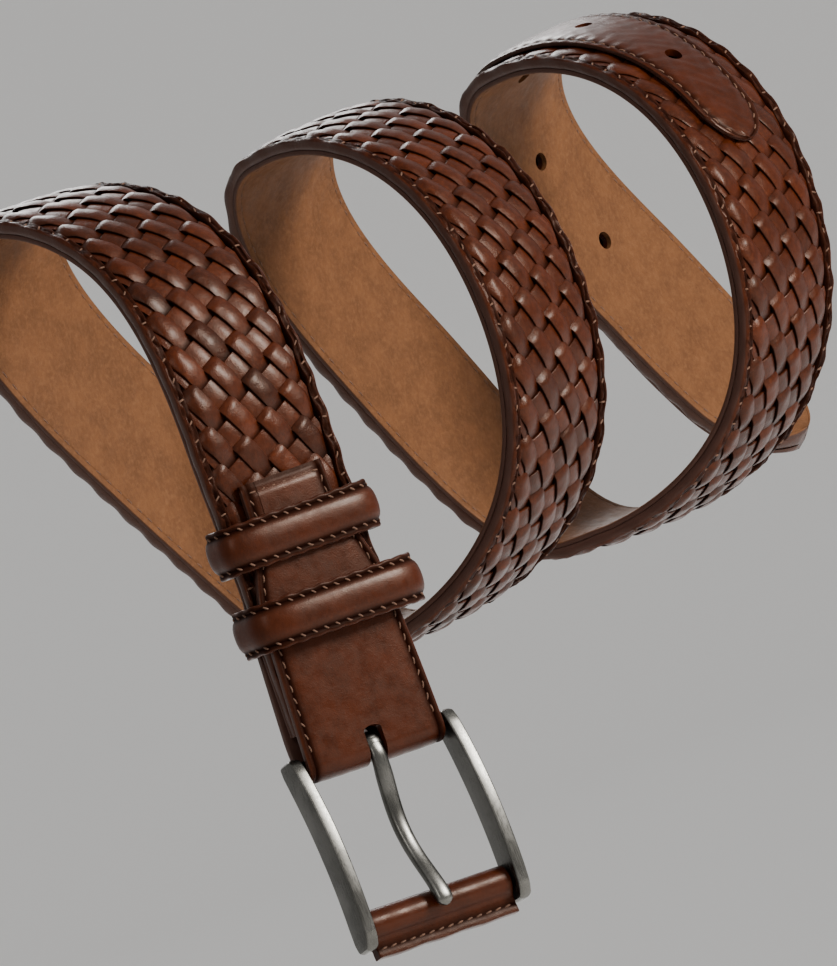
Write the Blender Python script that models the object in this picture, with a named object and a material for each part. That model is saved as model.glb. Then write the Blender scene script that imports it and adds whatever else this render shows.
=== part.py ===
"""A braided leather belt held in a loose coil of three arches, with its buckle end hanging down.

Metres, +Z up. The coil's axis runs along +X, from the buckle end to the free end. The front of each
turn faces -Y. The origin is the inner top of the middle turn, where the coil is held.

Belt coordinates are used throughout: "along" is the distance from the buckle's pivot bar, "across" is
the distance from the middle of the strap, and "up" is the height above the lining's inner face.
"""

import math

import bmesh
import bpy
import numpy as np
from mathutils import Matrix, Vector

MM = 0.001

# The belt as a whole
BELT_LENGTH = 898.0 * MM
STRAP_WIDTH = 35.0 * MM
STRAP_WIDTH_AT_TAB = 32.6 * MM
PIECE_GAP = 0.3 * MM

# Leather thicknesses
LINING_THICKNESS = 1.2 * MM
WEAVE_EDGE_THICKNESS = 2.2 * MM
WEAVE_CROWN = 0.9 * MM
TAB_THICKNESS = 1.6 * MM
END_TAB_THICKNESS = 1.1 * MM
LINING_INSET = 0.4 * MM

# The coil
COIL_RADIUS = 51.0 * MM
COIL_PITCH = 88.0 * MM
HANG_LENGTH = 75.5 * MM
HANG_TWIST = math.radians(20.0)
HANG_LEAN = 1.4 * MM
TWIST_RUN = 26.0 * MM
BACK_SQUARENESS = 3.0
HELD_AT_QUARTER = 5

# The buckle tab
STRAP_START = 7.0 * MM
FRONT_TAB_LENGTH = 60.6 * MM
RETURN_TAB_LENGTH = 52.0 * MM
RETURN_TAB_SAG = 0.6 * MM
RETURN_NARROWEST_AT = 0.36
TAB_WIDTH = 34.0 * MM
TAB_END_WIDTH = 21.0 * MM
TAB_FLAT_RUN = 12.0 * MM
SLOT_WIDTH = 4.3 * MM
SLOT_RISE = 4.2 * MM

# The keepers
KEEPER_WIDTH = 10.4 * MM
KEEPER_THICKNESS = 1.3 * MM
KEEPER_PADDING = 0.8 * MM
KEEPER_ROUNDNESS = 4.0
UPPER_KEEPER_AT = 48.2 * MM
UPPER_KEEPER_SLACK = 1.2 * MM
UPPER_KEEPER_SHIFT = 0.3 * MM
LOWER_KEEPER_AT = 30.6 * MM
LOWER_KEEPER_SLACK = 2.9 * MM
LOWER_KEEPER_SHIFT = 1.8 * MM

# The buckle
BAR_RADIUS = 1.6 * MM
BAR_CLEARANCE = 0.45 * MM
FRAME_WIDTH = 41.2 * MM
FRAME_LENGTH = 43.6 * MM
FRAME_HEAD = 2.2 * MM
PLATE_THICKNESS = 2.8 * MM
PLATE_DEPTH = 7.0 * MM
PLATE_BOW = 2.5 * MM
PLATE_CHAMFER = 0.5 * MM
FAR_BAR_RADIUS = 1.7 * MM
FAR_BAR_FROM_END = 5.2 * MM
FAR_BAR_SET_BACK = 1.2 * MM
BUCKLE_SWING = math.radians(9.0)

# The wrap on the far bar
WRAP_THICKNESS = 1.5 * MM
WRAP_END_GAP = 0.35 * MM
FLAP_LENGTH = 3.7 * MM
FLAP_THICKNESS = 2.6 * MM

# The prong
PRONG_WIDTH = 3.5 * MM
PRONG_THICKNESS = 2.7 * MM
PRONG_EYE_WALL = 1.3 * MM
PRONG_OVERHANG = 1.6 * MM

# The free end
TIP_LENGTH = 24.0 * MM
TIP_FULLNESS = 2.2
TIP_END_SHARE = 0.16
END_TAB_LENGTH = 190.0 * MM
END_TAB_TONGUE_WIDTH = 20.0 * MM
END_TAB_INSET = 1.0 * MM
HOLE_COUNT = 5
HOLE_PITCH = 25.0 * MM
HOLE_RADIUS = 2.0 * MM
FIRST_HOLE_FROM_TONGUE = 25.0 * MM

# How far a cutter reaches beyond the leather it cuts
CUT_MARGIN = 2.0 * MM

# How finely the pieces are divided
ALONG_STEP = 6.5 * MM
TIP_STEPS = 6
FOLD_STEPS = 8
QUARTER_STEPS = 90
ACROSS_SHARES = (-1.0, -0.5, 0.0, 0.5, 1.0)
KEEPER_STEPS = 40
ROUND_STEPS = 14
PRONG_STEPS = 10
EYE_STEPS = 20
HOLE_STEPS = 12
TONGUE_STEPS = 5
SHARP_ANGLE = math.radians(35.0)

# Depths of the three flattened back halves, in coil radii
BACK_DEPTHS = (0.38, 0.50, 0.50)

# The route of the coil, from the front of the first arch to behind the last one. Each turn goes from the
# front over the top, down the back and under, one quarter turn for each of these.
# Columns: quarter turns, axial place in coil pitches, height in coil radii, twist in degrees
ROUTE = (
    (0.0, -0.198, 1.004, 14.5),
    (0.5, -0.128, 1.025, 7.9),
    (1.0, -0.048, 1.045, 0.0),
    (1.5, 0.100, 1.050, 0.0),
    (2.0, 0.350, 1.050, 0.0),
    (2.5, 0.600, 1.055, -1.0),
    (3.0, 0.743, 1.057, -2.3),
    (3.5, 0.876, 1.029, -3.8),
    (4.0, 0.908, 1.000, -2.8),
    (4.5, 0.967, 0.982, -1.1),
    (5.0, 1.053, 0.967, 3.3),
    (5.5, 1.170, 0.967, 3.0),
    (6.0, 1.370, 0.970, 1.0),
    (6.5, 1.570, 0.975, 0.0),
    (7.0, 1.681, 0.980, 0.0),
    (7.5, 1.803, 0.998, -5.0),
    (8.0, 1.853, 0.996, -3.1),
    (8.5, 1.919, 0.990, 1.2),
    (9.0, 1.989, 0.980, 5.1),
    (9.5, 2.110, 0.980, 4.0),
    (10.0, 2.340, 0.980, 2.0),
    (10.5, 2.560, 0.980, 0.0),
    (11.0, 2.700, 0.980, 0.0),
)

# Half-widths of the folded tab, from the squared end to the fold.
# Columns: share of the front tab's length, share of the way from the end width to the full width
TAB_OUTLINE = (
    (0.00, 0.00),
    (0.16, 0.05),
    (0.30, 0.42),
    (0.42, 0.74),
    (0.55, 0.84),
    (0.75, 0.92),
    (1.00, 1.00),
)

# Half-widths of the end tab, from its rounded tongue to the tip.
# Columns: share of the end tab's length, share of the way from the tongue width to the full width
END_TAB_OUTLINE = (
    (0.00, 0.00),
    (0.15, 0.05),
    (0.35, 0.28),
    (0.60, 0.70),
    (0.80, 1.00),
    (1.00, 1.00),
)

# A keeper's section, round its padded wall.
# Columns: share of the width, share of the wall's thickness, share of the padding
KEEPER_PROFILE = (
    (-0.50, 0.0, 0.0),
    (0.50, 0.0, 0.0),
    (0.50, 1.0, 0.0),
    (0.30, 1.0, 0.85),
    (0.00, 1.0, 1.0),
    (-0.30, 1.0, 0.85),
    (-0.50, 1.0, 0.0),
)

# The side plate's depth, from the pivot end to the far end.
# Columns: share of the frame's length, share of the plate's depth
PLATE_OUTLINE = (
    (0.000, 0.50),
    (0.020, 0.74),
    (0.060, 0.88),
    (0.140, 0.93),
    (0.300, 0.97),
    (0.500, 1.00),
    (0.700, 1.00),
    (0.860, 1.00),
    (0.940, 0.94),
    (0.980, 0.72),
    (1.000, 0.44),
)

# The prong's line from the pivot bar to its tip.
# Columns: share of the way to the far bar, height share (0 at the bars' line, 1 resting on the wrap),
# share of the prong's width, share of its thickness
PRONG_LINE = (
    (-0.04, 0.52, 1.00, 0.66),
    (0.04, 0.60, 1.00, 0.80),
    (0.13, 0.46, 1.00, 0.92),
    (0.25, 0.12, 0.98, 0.96),
    (0.40, -0.22, 0.92, 1.00),
    (0.54, -0.22, 0.88, 1.00),
    (0.68, 0.12, 0.88, 1.00),
    (0.82, 0.66, 0.92, 1.00),
    (0.93, 0.98, 0.98, 0.98),
    (1.00, 1.04, 0.92, 0.86),
)


def smoothstep(value):
    """0 below 0, 1 above 1 and a smooth rise between."""
    value = min(max(value, 0.0), 1.0)
    return value * value * (3.0 - 2.0 * value)


def table_value(table, place, column=1):
    """A column of a table at a place between its rows."""
    return float(np.interp(place, [row[0] for row in table], [row[column] for row in table]))


def spline_values(knots, values, wanted):
    """Values of the cubic curve through the knots, level at the first one and free at the last."""
    count = len(knots)
    gaps = np.diff(knots)
    slopes = np.diff(values) / gaps
    matrix = np.zeros((count, count))
    right = np.zeros(count)
    matrix[0, 0] = 2.0 * gaps[0]
    matrix[0, 1] = gaps[0]
    right[0] = 6.0 * slopes[0]
    for i in range(1, count - 1):
        matrix[i, i - 1] = gaps[i - 1]
        matrix[i, i] = 2.0 * (gaps[i - 1] + gaps[i])
        matrix[i, i + 1] = gaps[i]
        right[i] = 6.0 * (slopes[i] - slopes[i - 1])
    matrix[-1, -1] = 1.0
    bends = np.linalg.solve(matrix, right)
    cell = np.clip(np.searchsorted(knots, wanted) - 1, 0, count - 2)
    gap = gaps[cell]
    left_share = (knots[cell + 1] - wanted) / gap
    right_share = (wanted - knots[cell]) / gap
    straight = left_share * values[cell] + right_share * values[cell + 1]
    curved = (left_share**3 - left_share) * bends[cell] + (right_share**3 - right_share) * bends[cell + 1]
    return straight + curved * gap**2 / 6.0


def unit(vectors):
    return vectors / np.linalg.norm(vectors, axis=-1, keepdims=True)


def quarter_outline(squareness, depth):
    """Even steps along a quarter of a turn's outline, from its middle to its top: depth, height."""
    turn = np.linspace(0.0, math.pi / 2, 3000)
    across = np.abs(np.cos(turn)) ** (2.0 / squareness)
    up = np.abs(np.sin(turn)) ** (2.0 / squareness)
    steps = np.hypot(np.diff(across) * depth, np.diff(up))
    distances = np.concatenate([[0.0], np.cumsum(steps)]) / steps.sum()
    even = np.linspace(0.0, 1.0, QUARTER_STEPS + 1)
    return np.interp(even, distances, across) * depth, np.interp(even, distances, up)


def coil_outline(quarters):
    """Depth and height shares for each step of this many quarter turns, the front being positive."""
    depths = [1.0]
    heights = [0.0]
    for quarter in range(quarters):
        at_back = quarter % 4 in (1, 2)
        depth = BACK_DEPTHS[quarter // 4] if at_back else 1.0
        outline = quarter_outline(BACK_SQUARENESS if at_back else 2.0, depth)
        across, up = outline if quarter % 2 == 0 else (outline[0][::-1], outline[1][::-1])
        depths.extend(-across[1:] if at_back else across[1:])
        heights.extend(-up[1:] if quarter % 4 in (2, 3) else up[1:])
    return np.array(depths), np.array(heights)


def belt_route():
    """Distances, points, tangents, across and outward directions along the lining's inner face."""
    table = np.array(ROUTE)
    quarters = int(table[-1, 0])
    depths, heights = coil_outline(quarters)
    steps = np.hypot(np.diff(depths), np.diff(heights))
    places = np.concatenate([[0.0], np.cumsum(steps)])
    knots = places[np.round(table[:, 0] * QUARTER_STEPS).astype(int)]
    axial = spline_values(knots, table[:, 1], places) * COIL_PITCH
    radius = spline_values(knots, table[:, 2], places) * COIL_RADIUS
    twist = np.radians(spline_values(knots, table[:, 3], places))
    coil = np.stack([axial, -radius * depths, radius * heights], axis=1)
    hang_steps = np.linspace(HANG_LENGTH, 0.0, 40)[:-1]
    lean = HANG_LEAN * (hang_steps / HANG_LENGTH) ** 2
    hang = coil[0] - np.stack([lean, 0.0 * lean, hang_steps], axis=1)
    hang_twist = [
        HANG_TWIST + (twist[0] - HANG_TWIST) * smoothstep(1.0 - step / TWIST_RUN) for step in hang_steps
    ]
    points = np.concatenate([hang, coil])
    twist = np.concatenate([hang_twist, twist])
    held = coil[HELD_AT_QUARTER * QUARTER_STEPS]
    points = points - held
    tangents = unit(np.gradient(points, axis=0))
    flat = unit(tangents * (0.0, 1.0, 1.0))
    outward = np.stack([flat[:, 0], -flat[:, 2], flat[:, 1]], axis=1)
    across = unit(np.cross(outward, tangents)) * -1.0
    normal = np.cross(across, tangents)
    turned_across = across * np.cos(twist)[:, None] + normal * np.sin(twist)[:, None]
    turned_normal = normal * np.cos(twist)[:, None] - across * np.sin(twist)[:, None]
    steps = np.linalg.norm(np.diff(points, axis=0), axis=1)
    distances = np.concatenate([[0.0], np.cumsum(steps)])
    return distances, points, tangents, turned_across, turned_normal


DISTANCES, POINTS, TANGENTS, ACROSS, NORMALS = belt_route()


def route_value(values, along):
    return np.array([np.interp(along, DISTANCES, values[:, i]) for i in range(3)])


def belt_point(along, across, up):
    """The point in space of a point given in belt coordinates."""
    tangent = unit(route_value(TANGENTS, along))
    beyond = along - min(max(along, 0.0), DISTANCES[-1])
    side = route_value(ACROSS, along)
    side = unit(side - tangent * side.dot(tangent))
    normal = np.cross(side, tangent)
    return Vector(route_value(POINTS, along) + tangent * beyond + side * across + normal * up)


def belt_matrix(along, up):
    """A frame on the belt: X across, Y inwards and Z along it."""
    tangent = Vector(unit(route_value(TANGENTS, along)))
    side = Vector(route_value(ACROSS, along))
    side = (side - tangent * side.dot(tangent)).normalized()
    inward = tangent.cross(side)
    rotation = Matrix((side, inward, tangent)).transposed()
    return Matrix.Translation(belt_point(along, 0.0, up)) @ rotation.to_4x4()


def material(name, colour, roughness, metallic):
    made = bpy.data.materials.new(name)
    made.use_nodes = True
    shader = made.node_tree.nodes["Principled BSDF"]
    shader.inputs["Base Color"].default_value = (*colour, 1.0)
    shader.inputs["Roughness"].default_value = roughness
    shader.inputs["Metallic"].default_value = metallic
    return made


def add_object(name, mesh, collection, finish=None, matrix=None):
    made = bpy.data.objects.new(name, mesh)
    collection.objects.link(made)
    if finish is not None:
        mesh.materials.append(finish)
    if matrix is not None:
        made.matrix_world = matrix
    return made


def loft(name, rings, closed=False):
    """A closed mesh through rings of points, with a face on each end or joined into a loop."""
    shape = bmesh.new()
    made = [[shape.verts.new(point) for point in ring] for ring in rings]
    pairs = list(zip(made, made[1:]))
    if closed:
        pairs.append((made[-1], made[0]))
    for ring, following in pairs:
        for i in range(len(ring)):
            j = (i + 1) % len(ring)
            shape.faces.new((ring[i], ring[j], following[j], following[i]))
    if not closed:
        shape.faces.new(list(reversed(made[0])))
        shape.faces.new(made[-1])
    bmesh.ops.recalc_face_normals(shape, faces=shape.faces)
    mesh = bpy.data.meshes.new(name)
    shape.to_mesh(mesh)
    shape.free()
    mesh.set_sharp_from_angle(angle=SHARP_ANGLE)
    return mesh


def rod(name, radius, start, end, collection, steps=ROUND_STEPS):
    """A round bar between two points of the same local frame."""
    shape = bmesh.new()
    line = Vector(end) - Vector(start)
    turn = line.to_track_quat("Z", "Y").to_matrix().to_4x4()
    place = Matrix.Translation((Vector(start) + Vector(end)) / 2) @ turn
    bmesh.ops.create_cone(
        shape,
        cap_ends=True,
        segments=steps,
        radius1=radius,
        radius2=radius,
        depth=line.length,
        matrix=place,
    )
    mesh = bpy.data.meshes.new(name)
    shape.to_mesh(mesh)
    shape.free()
    return add_object(name, mesh, collection)


def boolean(target, operation, other):
    change = target.modifiers.new(operation.lower(), "BOOLEAN")
    change.operation = operation
    change.solver = "EXACT"
    change.object = other
    other.hide_render = True
    other.display_type = "WIRE"


def along_stations(start, end):
    """Even stations from start to end."""
    count = max(2, round((end - start) / ALONG_STEP) + 1)
    return list(np.linspace(start, end, count))


def tip_stations(length):
    """Stations along the belt's rounded tip, closer together towards its end."""
    shares = [math.sin(math.pi / 2 * step / TIP_STEPS) for step in range(1, TIP_STEPS + 1)]
    return [length - TIP_LENGTH + TIP_LENGTH * share for share in shares]


def tip_share(along, length):
    """How much of the full width the strap has near its rounded tip."""
    into_tip = (along - (length - TIP_LENGTH)) / TIP_LENGTH
    if into_tip <= 0.0:
        return 1.0
    return max(math.sqrt(max(1.0 - into_tip**TIP_FULLNESS, 0.0)), TIP_END_SHARE)


def strap_half_width(along):
    """Half the strap's width: a little narrower under the buckle tab, and rounded at the tip."""
    widen = smoothstep((along - FRONT_TAB_LENGTH + TAB_FLAT_RUN) / (2.0 * TAB_FLAT_RUN))
    width = STRAP_WIDTH_AT_TAB + (STRAP_WIDTH - STRAP_WIDTH_AT_TAB) * widen
    return width / 2 * tip_share(along, BELT_LENGTH)


def weave_top(along, across_share):
    """Height of the woven band's outer face, crowned except under the buckle tab."""
    crown = WEAVE_CROWN * smoothstep((along - FRONT_TAB_LENGTH) / TAB_FLAT_RUN)
    base = LINING_THICKNESS + PIECE_GAP + WEAVE_EDGE_THICKNESS
    return base + crown * (1.0 - across_share**2)


def woven_strap(collection, leather):
    rings = []
    bottom = LINING_THICKNESS + PIECE_GAP
    for along in along_stations(STRAP_START, BELT_LENGTH - TIP_LENGTH) + tip_stations(BELT_LENGTH):
        half = strap_half_width(along)
        ring = [belt_point(along, half * share, bottom) for share in ACROSS_SHARES]
        for share in reversed(ACROSS_SHARES):
            ring.append(belt_point(along, half * share, weave_top(along, share)))
        rings.append(ring)
    return add_object("woven_strap", loft("woven_strap", rings), collection, leather)


def lining(collection, leather):
    rings = []
    for along in along_stations(STRAP_START, BELT_LENGTH - TIP_LENGTH) + tip_stations(BELT_LENGTH):
        half = strap_half_width(along) * (1.0 - 2.0 * LINING_INSET / STRAP_WIDTH)
        ring = [belt_point(along, half * share, 0.0) for share in ACROSS_SHARES]
        for share in reversed(ACROSS_SHARES):
            ring.append(belt_point(along, half * share, LINING_THICKNESS))
        rings.append(ring)
    return add_object("lining", loft("lining", rings), collection, leather)


def tab_inner_height():
    """Height of the front tab layer's inner face, just above the strap."""
    return LINING_THICKNESS + PIECE_GAP + WEAVE_EDGE_THICKNESS + PIECE_GAP


def fold_radius():
    return BAR_RADIUS + BAR_CLEARANCE


def bar_height():
    """Height of the pivot bar's axis above the lining's inner face."""
    return tab_inner_height() - fold_radius()


def tab_half_width(share):
    widen = table_value(TAB_OUTLINE, share)
    return (TAB_END_WIDTH + (TAB_WIDTH - TAB_END_WIDTH) * widen) / 2


def buckle_tab(collection, leather):
    """One strip: down the front of the strap, round the bar and up behind the lining."""
    rings = []

    def add(half, inner, outer):
        inner_along, inner_up = inner
        outer_along, outer_up = outer
        ring = [belt_point(inner_along, side * half, inner_up) for side in (-1.0, 1.0)]
        ring += [belt_point(outer_along, side * half, outer_up) for side in (1.0, -1.0)]
        rings.append(ring)

    height = tab_inner_height()
    for along in reversed(along_stations(0.0, FRONT_TAB_LENGTH)):
        half = tab_half_width(1.0 - along / FRONT_TAB_LENGTH)
        add(half, (along, height), (along, height + TAB_THICKNESS))
    half = tab_half_width(1.0)
    for step in range(1, FOLD_STEPS):
        angle = math.pi * step / FOLD_STEPS
        ends = []
        for radius in (fold_radius(), fold_radius() + TAB_THICKNESS):
            ends.append((-radius * math.sin(angle), bar_height() + radius * math.cos(angle)))
        add(half, *ends)
    for along in along_stations(0.0, RETURN_TAB_LENGTH):
        sag = RETURN_TAB_SAG * smoothstep(along / STRAP_START)
        half = tab_half_width(max(1.0 - along / FRONT_TAB_LENGTH, RETURN_NARROWEST_AT))
        height = bar_height() - fold_radius() - sag
        add(half, (along, height), (along, height - TAB_THICKNESS))
    return add_object("buckle_tab", loft("buckle_tab", rings), collection, leather)


def keeper(name, along, slack, shift, collection, leather):
    """A padded loop round the strap and both layers of the tab."""
    back = bar_height() - fold_radius() - RETURN_TAB_SAG - TAB_THICKNESS
    front = tab_inner_height() + TAB_THICKNESS
    middle = (front + back) / 2 + (slack - UPPER_KEEPER_SLACK) / 3
    half_across = STRAP_WIDTH_AT_TAB / 2 + slack
    half_up = (front - back) / 2 + slack
    rings = []
    power = 2.0 / KEEPER_ROUNDNESS
    for step in range(KEEPER_STEPS):
        turn = 2.0 * math.pi * step / KEEPER_STEPS
        cosine = math.cos(turn)
        sine = math.sin(turn)
        across = math.copysign(abs(cosine) ** power, cosine)
        up = math.copysign(abs(sine) ** power, sine)
        ring = []
        for width_share, wall_share, pad_share in KEEPER_PROFILE:
            wall = KEEPER_THICKNESS * wall_share + KEEPER_PADDING * pad_share
            place = along + KEEPER_WIDTH * width_share
            ring.append(
                belt_point(place, shift + (half_across + wall) * across, middle + (half_up + wall) * up)
            )
        rings.append(ring)
    return add_object(name, loft(name, rings, closed=True), collection, leather)


def plate_centre():
    """Distance of a side plate's middle from the middle of the buckle."""
    return FRAME_WIDTH / 2 - PLATE_THICKNESS / 2


def far_bar_drop():
    """How far below the pivot bar the far bar lies."""
    return FRAME_LENGTH - FRAME_HEAD - FAR_BAR_FROM_END


def side_plate(name, side, collection):
    """A bowed plate, standing on edge, with rounded ends."""
    rings = []
    middle = side * plate_centre()
    half = PLATE_THICKNESS / 2
    cut = PLATE_CHAMFER
    for place, depth_share in PLATE_OUTLINE:
        depth = PLATE_DEPTH * depth_share / 2
        bow = -PLATE_BOW * (1.0 - (2.0 * place - 1.0) ** 2)
        drop = FRAME_HEAD - FRAME_LENGTH * place
        outline = (
            (-half, -depth + cut),
            (-half + cut, -depth),
            (half - cut, -depth),
            (half, -depth + cut),
            (half, depth - cut),
            (half - cut, depth),
            (-half + cut, depth),
            (-half, depth - cut),
        )
        rings.append([Vector((middle + across, bow + back, drop)) for across, back in outline])
    return add_object(name, loft(name, rings), collection)


def buckle_frame(collection, cutters, metal, place):
    frame = side_plate("buckle_frame", -1.0, collection)
    frame.data.materials.append(metal)
    reach = plate_centre()
    far = (FAR_BAR_SET_BACK, -far_bar_drop())
    pieces = (
        side_plate("buckle_right_plate", 1.0, cutters),
        rod("buckle_bar", BAR_RADIUS, (-reach, 0.0, 0.0), (reach, 0.0, 0.0), cutters),
        rod("buckle_far_bar", FAR_BAR_RADIUS, (-reach, *far), (reach, *far), cutters),
    )
    frame.matrix_world = place
    for piece in pieces:
        piece.matrix_world = place
        boolean(frame, "UNION", piece)
    return frame


def wrap_radius():
    return FAR_BAR_RADIUS + PIECE_GAP + WRAP_THICKNESS


def bar_wrap(collection, cutters, leather, place):
    """Leather rolled round the far bar, ending in a flat flap below it."""
    reach = plate_centre() - PLATE_THICKNESS / 2 - WRAP_END_GAP
    radius = wrap_radius()
    half_flap = FLAP_THICKNESS / 2
    start = math.asin(half_flap / radius)
    outline = [(half_flap, -radius - FLAP_LENGTH)]
    for step in range(ROUND_STEPS + 1):
        angle = start + (2.0 * math.pi - 2.0 * start) * step / ROUND_STEPS
        outline.append((radius * math.sin(angle), -radius * math.cos(angle)))
    outline.append((-half_flap, -radius - FLAP_LENGTH))
    rings = []
    for side in (-reach, reach):
        rings.append([Vector((side, FAR_BAR_SET_BACK + y, z - far_bar_drop())) for y, z in outline])
    wrap = add_object("bar_wrap", loft("bar_wrap", rings), collection, leather, place)
    far = (FAR_BAR_SET_BACK, -far_bar_drop())
    hole = rod(
        "bar_wrap_hole",
        FAR_BAR_RADIUS + PIECE_GAP,
        (-FRAME_WIDTH, *far),
        (FRAME_WIDTH, *far),
        cutters,
    )
    hole.matrix_world = place
    boolean(wrap, "DIFFERENCE", hole)
    return wrap


def prong(collection, cutters, metal, place):
    """An S-curved stem that rests on the wrap, with an eye round the pivot bar."""
    resting = wrap_radius() - FAR_BAR_SET_BACK + PIECE_GAP + PRONG_THICKNESS / 2
    reach = far_bar_drop() + PRONG_OVERHANG
    rings = []
    for share, height_share, width_share, thickness_share in PRONG_LINE:
        half_width = PRONG_WIDTH / 2 * width_share
        half_depth = PRONG_THICKNESS / 2 * thickness_share
        ring = []
        for step in range(PRONG_STEPS):
            angle = 2.0 * math.pi * step / PRONG_STEPS
            x = half_width * math.cos(angle)
            y = -resting * height_share + half_depth * math.sin(angle)
            ring.append(Vector((x, y, -reach * share)))
        rings.append(ring)
    stem = add_object("prong", loft("prong", rings), collection, metal, place)
    eye_radius = BAR_RADIUS + PIECE_GAP + PRONG_EYE_WALL
    half = PRONG_WIDTH / 2
    hole_radius = BAR_RADIUS + PIECE_GAP
    beyond = half + CUT_MARGIN
    eye = rod("prong_eye", eye_radius, (-half, 0.0, 0.0), (half, 0.0, 0.0), cutters, EYE_STEPS)
    hole = rod("prong_hole", hole_radius, (-beyond, 0.0, 0.0), (beyond, 0.0, 0.0), cutters, EYE_STEPS)
    eye.matrix_world = place
    hole.matrix_world = place
    boolean(stem, "UNION", eye)
    boolean(stem, "DIFFERENCE", hole)
    return stem


def prong_slot(tab, cutters):
    """The slot through both layers and the fold of the tab."""
    reach = fold_radius() + TAB_THICKNESS + RETURN_TAB_SAG + CUT_MARGIN
    shape = bmesh.new()
    bmesh.ops.create_cube(shape, size=1.0)
    for corner in shape.verts:
        corner.co.x *= SLOT_WIDTH
        corner.co.y *= 2.0 * reach
        corner.co.z = SLOT_RISE if corner.co.z > 0.0 else -reach
    mesh = bpy.data.meshes.new("tab_slot")
    shape.to_mesh(mesh)
    shape.free()
    cutter = add_object("tab_slot", mesh, cutters, matrix=belt_matrix(0.0, bar_height()))
    boolean(tab, "DIFFERENCE", cutter)


def end_tab_half_width(along):
    """Half-width of the end tab, with its rounded tongue and the belt's own tip."""
    from_tongue = along - (BELT_LENGTH - END_TAB_LENGTH)
    widen = table_value(END_TAB_OUTLINE, from_tongue / END_TAB_LENGTH)
    full = STRAP_WIDTH - 2.0 * END_TAB_INSET
    half = (END_TAB_TONGUE_WIDTH + (full - END_TAB_TONGUE_WIDTH) * widen) / 2
    half = min(half, full / 2 * tip_share(along, BELT_LENGTH))
    radius = END_TAB_TONGUE_WIDTH / 2
    if from_tongue < radius:
        half *= math.sqrt(max(1.0 - (1.0 - from_tongue / radius) ** 2, 0.04))
    return half


def end_tab(collection, leather):
    """The smooth tongue laid over the weave at the free end."""
    start = BELT_LENGTH - END_TAB_LENGTH
    radius = END_TAB_TONGUE_WIDTH / 2
    turns = [math.pi / 2 * step / TONGUE_STEPS for step in range(TONGUE_STEPS)]
    stations = [start + radius * (1.0 - math.cos(turn)) for turn in turns]
    stations += along_stations(start + radius, BELT_LENGTH - TIP_LENGTH) + tip_stations(BELT_LENGTH)[:-1]
    rings = []
    for along in stations:
        half = end_tab_half_width(along)
        strap_half = strap_half_width(along)
        ring = []
        for side, lift in ((1.0, PIECE_GAP), (-1.0, PIECE_GAP + END_TAB_THICKNESS)):
            for share in ACROSS_SHARES:
                across = half * share * side
                ring.append(belt_point(along, across, weave_top(along, across / strap_half) + lift))
        rings.append(ring)
    return add_object("end_tab", loft("end_tab", rings), collection, leather)


def belt_holes(pieces, cutters):
    """Round holes through the end tab, the woven strap and the lining."""
    first = BELT_LENGTH - END_TAB_LENGTH + FIRST_HOLE_FROM_TONGUE
    reach = LINING_THICKNESS + WEAVE_EDGE_THICKNESS + WEAVE_CROWN + END_TAB_THICKNESS + CUT_MARGIN
    for number in range(HOLE_COUNT):
        along = first + number * HOLE_PITCH
        start = (0.0, reach, 0.0)
        end = (0.0, -reach, 0.0)
        cutter = rod(f"hole_{number + 1}", HOLE_RADIUS, start, end, cutters, HOLE_STEPS)
        cutter.matrix_world = belt_matrix(along, reach / 2)
        for piece in pieces:
            boolean(piece, "DIFFERENCE", cutter)


def collection_named(name):
    made = bpy.data.collections.new(name)
    bpy.context.scene.collection.children.link(made)
    return made


def main():
    for old in list(bpy.data.objects):
        bpy.data.objects.remove(old)
    belt = collection_named("braided_belt")
    cutters = collection_named("cutters")
    cutters.hide_render = True
    woven_leather = material("woven_leather", (0.115, 0.031, 0.012), 0.38, 0.0)
    smooth_leather = material("smooth_leather", (0.105, 0.026, 0.010), 0.34, 0.0)
    lining_leather = material("lining_leather", (0.33, 0.16, 0.075), 0.62, 0.0)
    metal = material("brushed_metal", (0.30, 0.295, 0.27), 0.32, 1.0)

    strap = woven_strap(belt, woven_leather)
    inside = lining(belt, lining_leather)
    tab = buckle_tab(belt, smooth_leather)
    prong_slot(tab, cutters)
    keeper(
        "keeper_upper",
        UPPER_KEEPER_AT,
        UPPER_KEEPER_SLACK,
        UPPER_KEEPER_SHIFT,
        belt,
        smooth_leather,
    )
    keeper(
        "keeper_lower",
        LOWER_KEEPER_AT,
        LOWER_KEEPER_SLACK,
        LOWER_KEEPER_SHIFT,
        belt,
        smooth_leather,
    )
    tongue = end_tab(belt, smooth_leather)
    belt_holes((strap, inside, tongue), cutters)

    buckle_place = belt_matrix(0.0, bar_height()) @ Matrix.Rotation(-BUCKLE_SWING, 4, "X")
    buckle_frame(belt, cutters, metal, buckle_place)
    bar_wrap(belt, cutters, smooth_leather, buckle_place)
    prong(belt, cutters, metal, buckle_place)


main()
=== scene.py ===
"""The looks of the braided belt: its strands, seams, painted edges, brushed metal, light and camera.

Belt coordinates are used as in the part: "along" is the distance from the pivot bar, "across" the distance
from the strap's middle and "up" the height above the lining's inner face. All lengths are in metres.
"""

import math

import bmesh
import bpy
import numpy as np
from mathutils import Matrix, Vector


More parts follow.
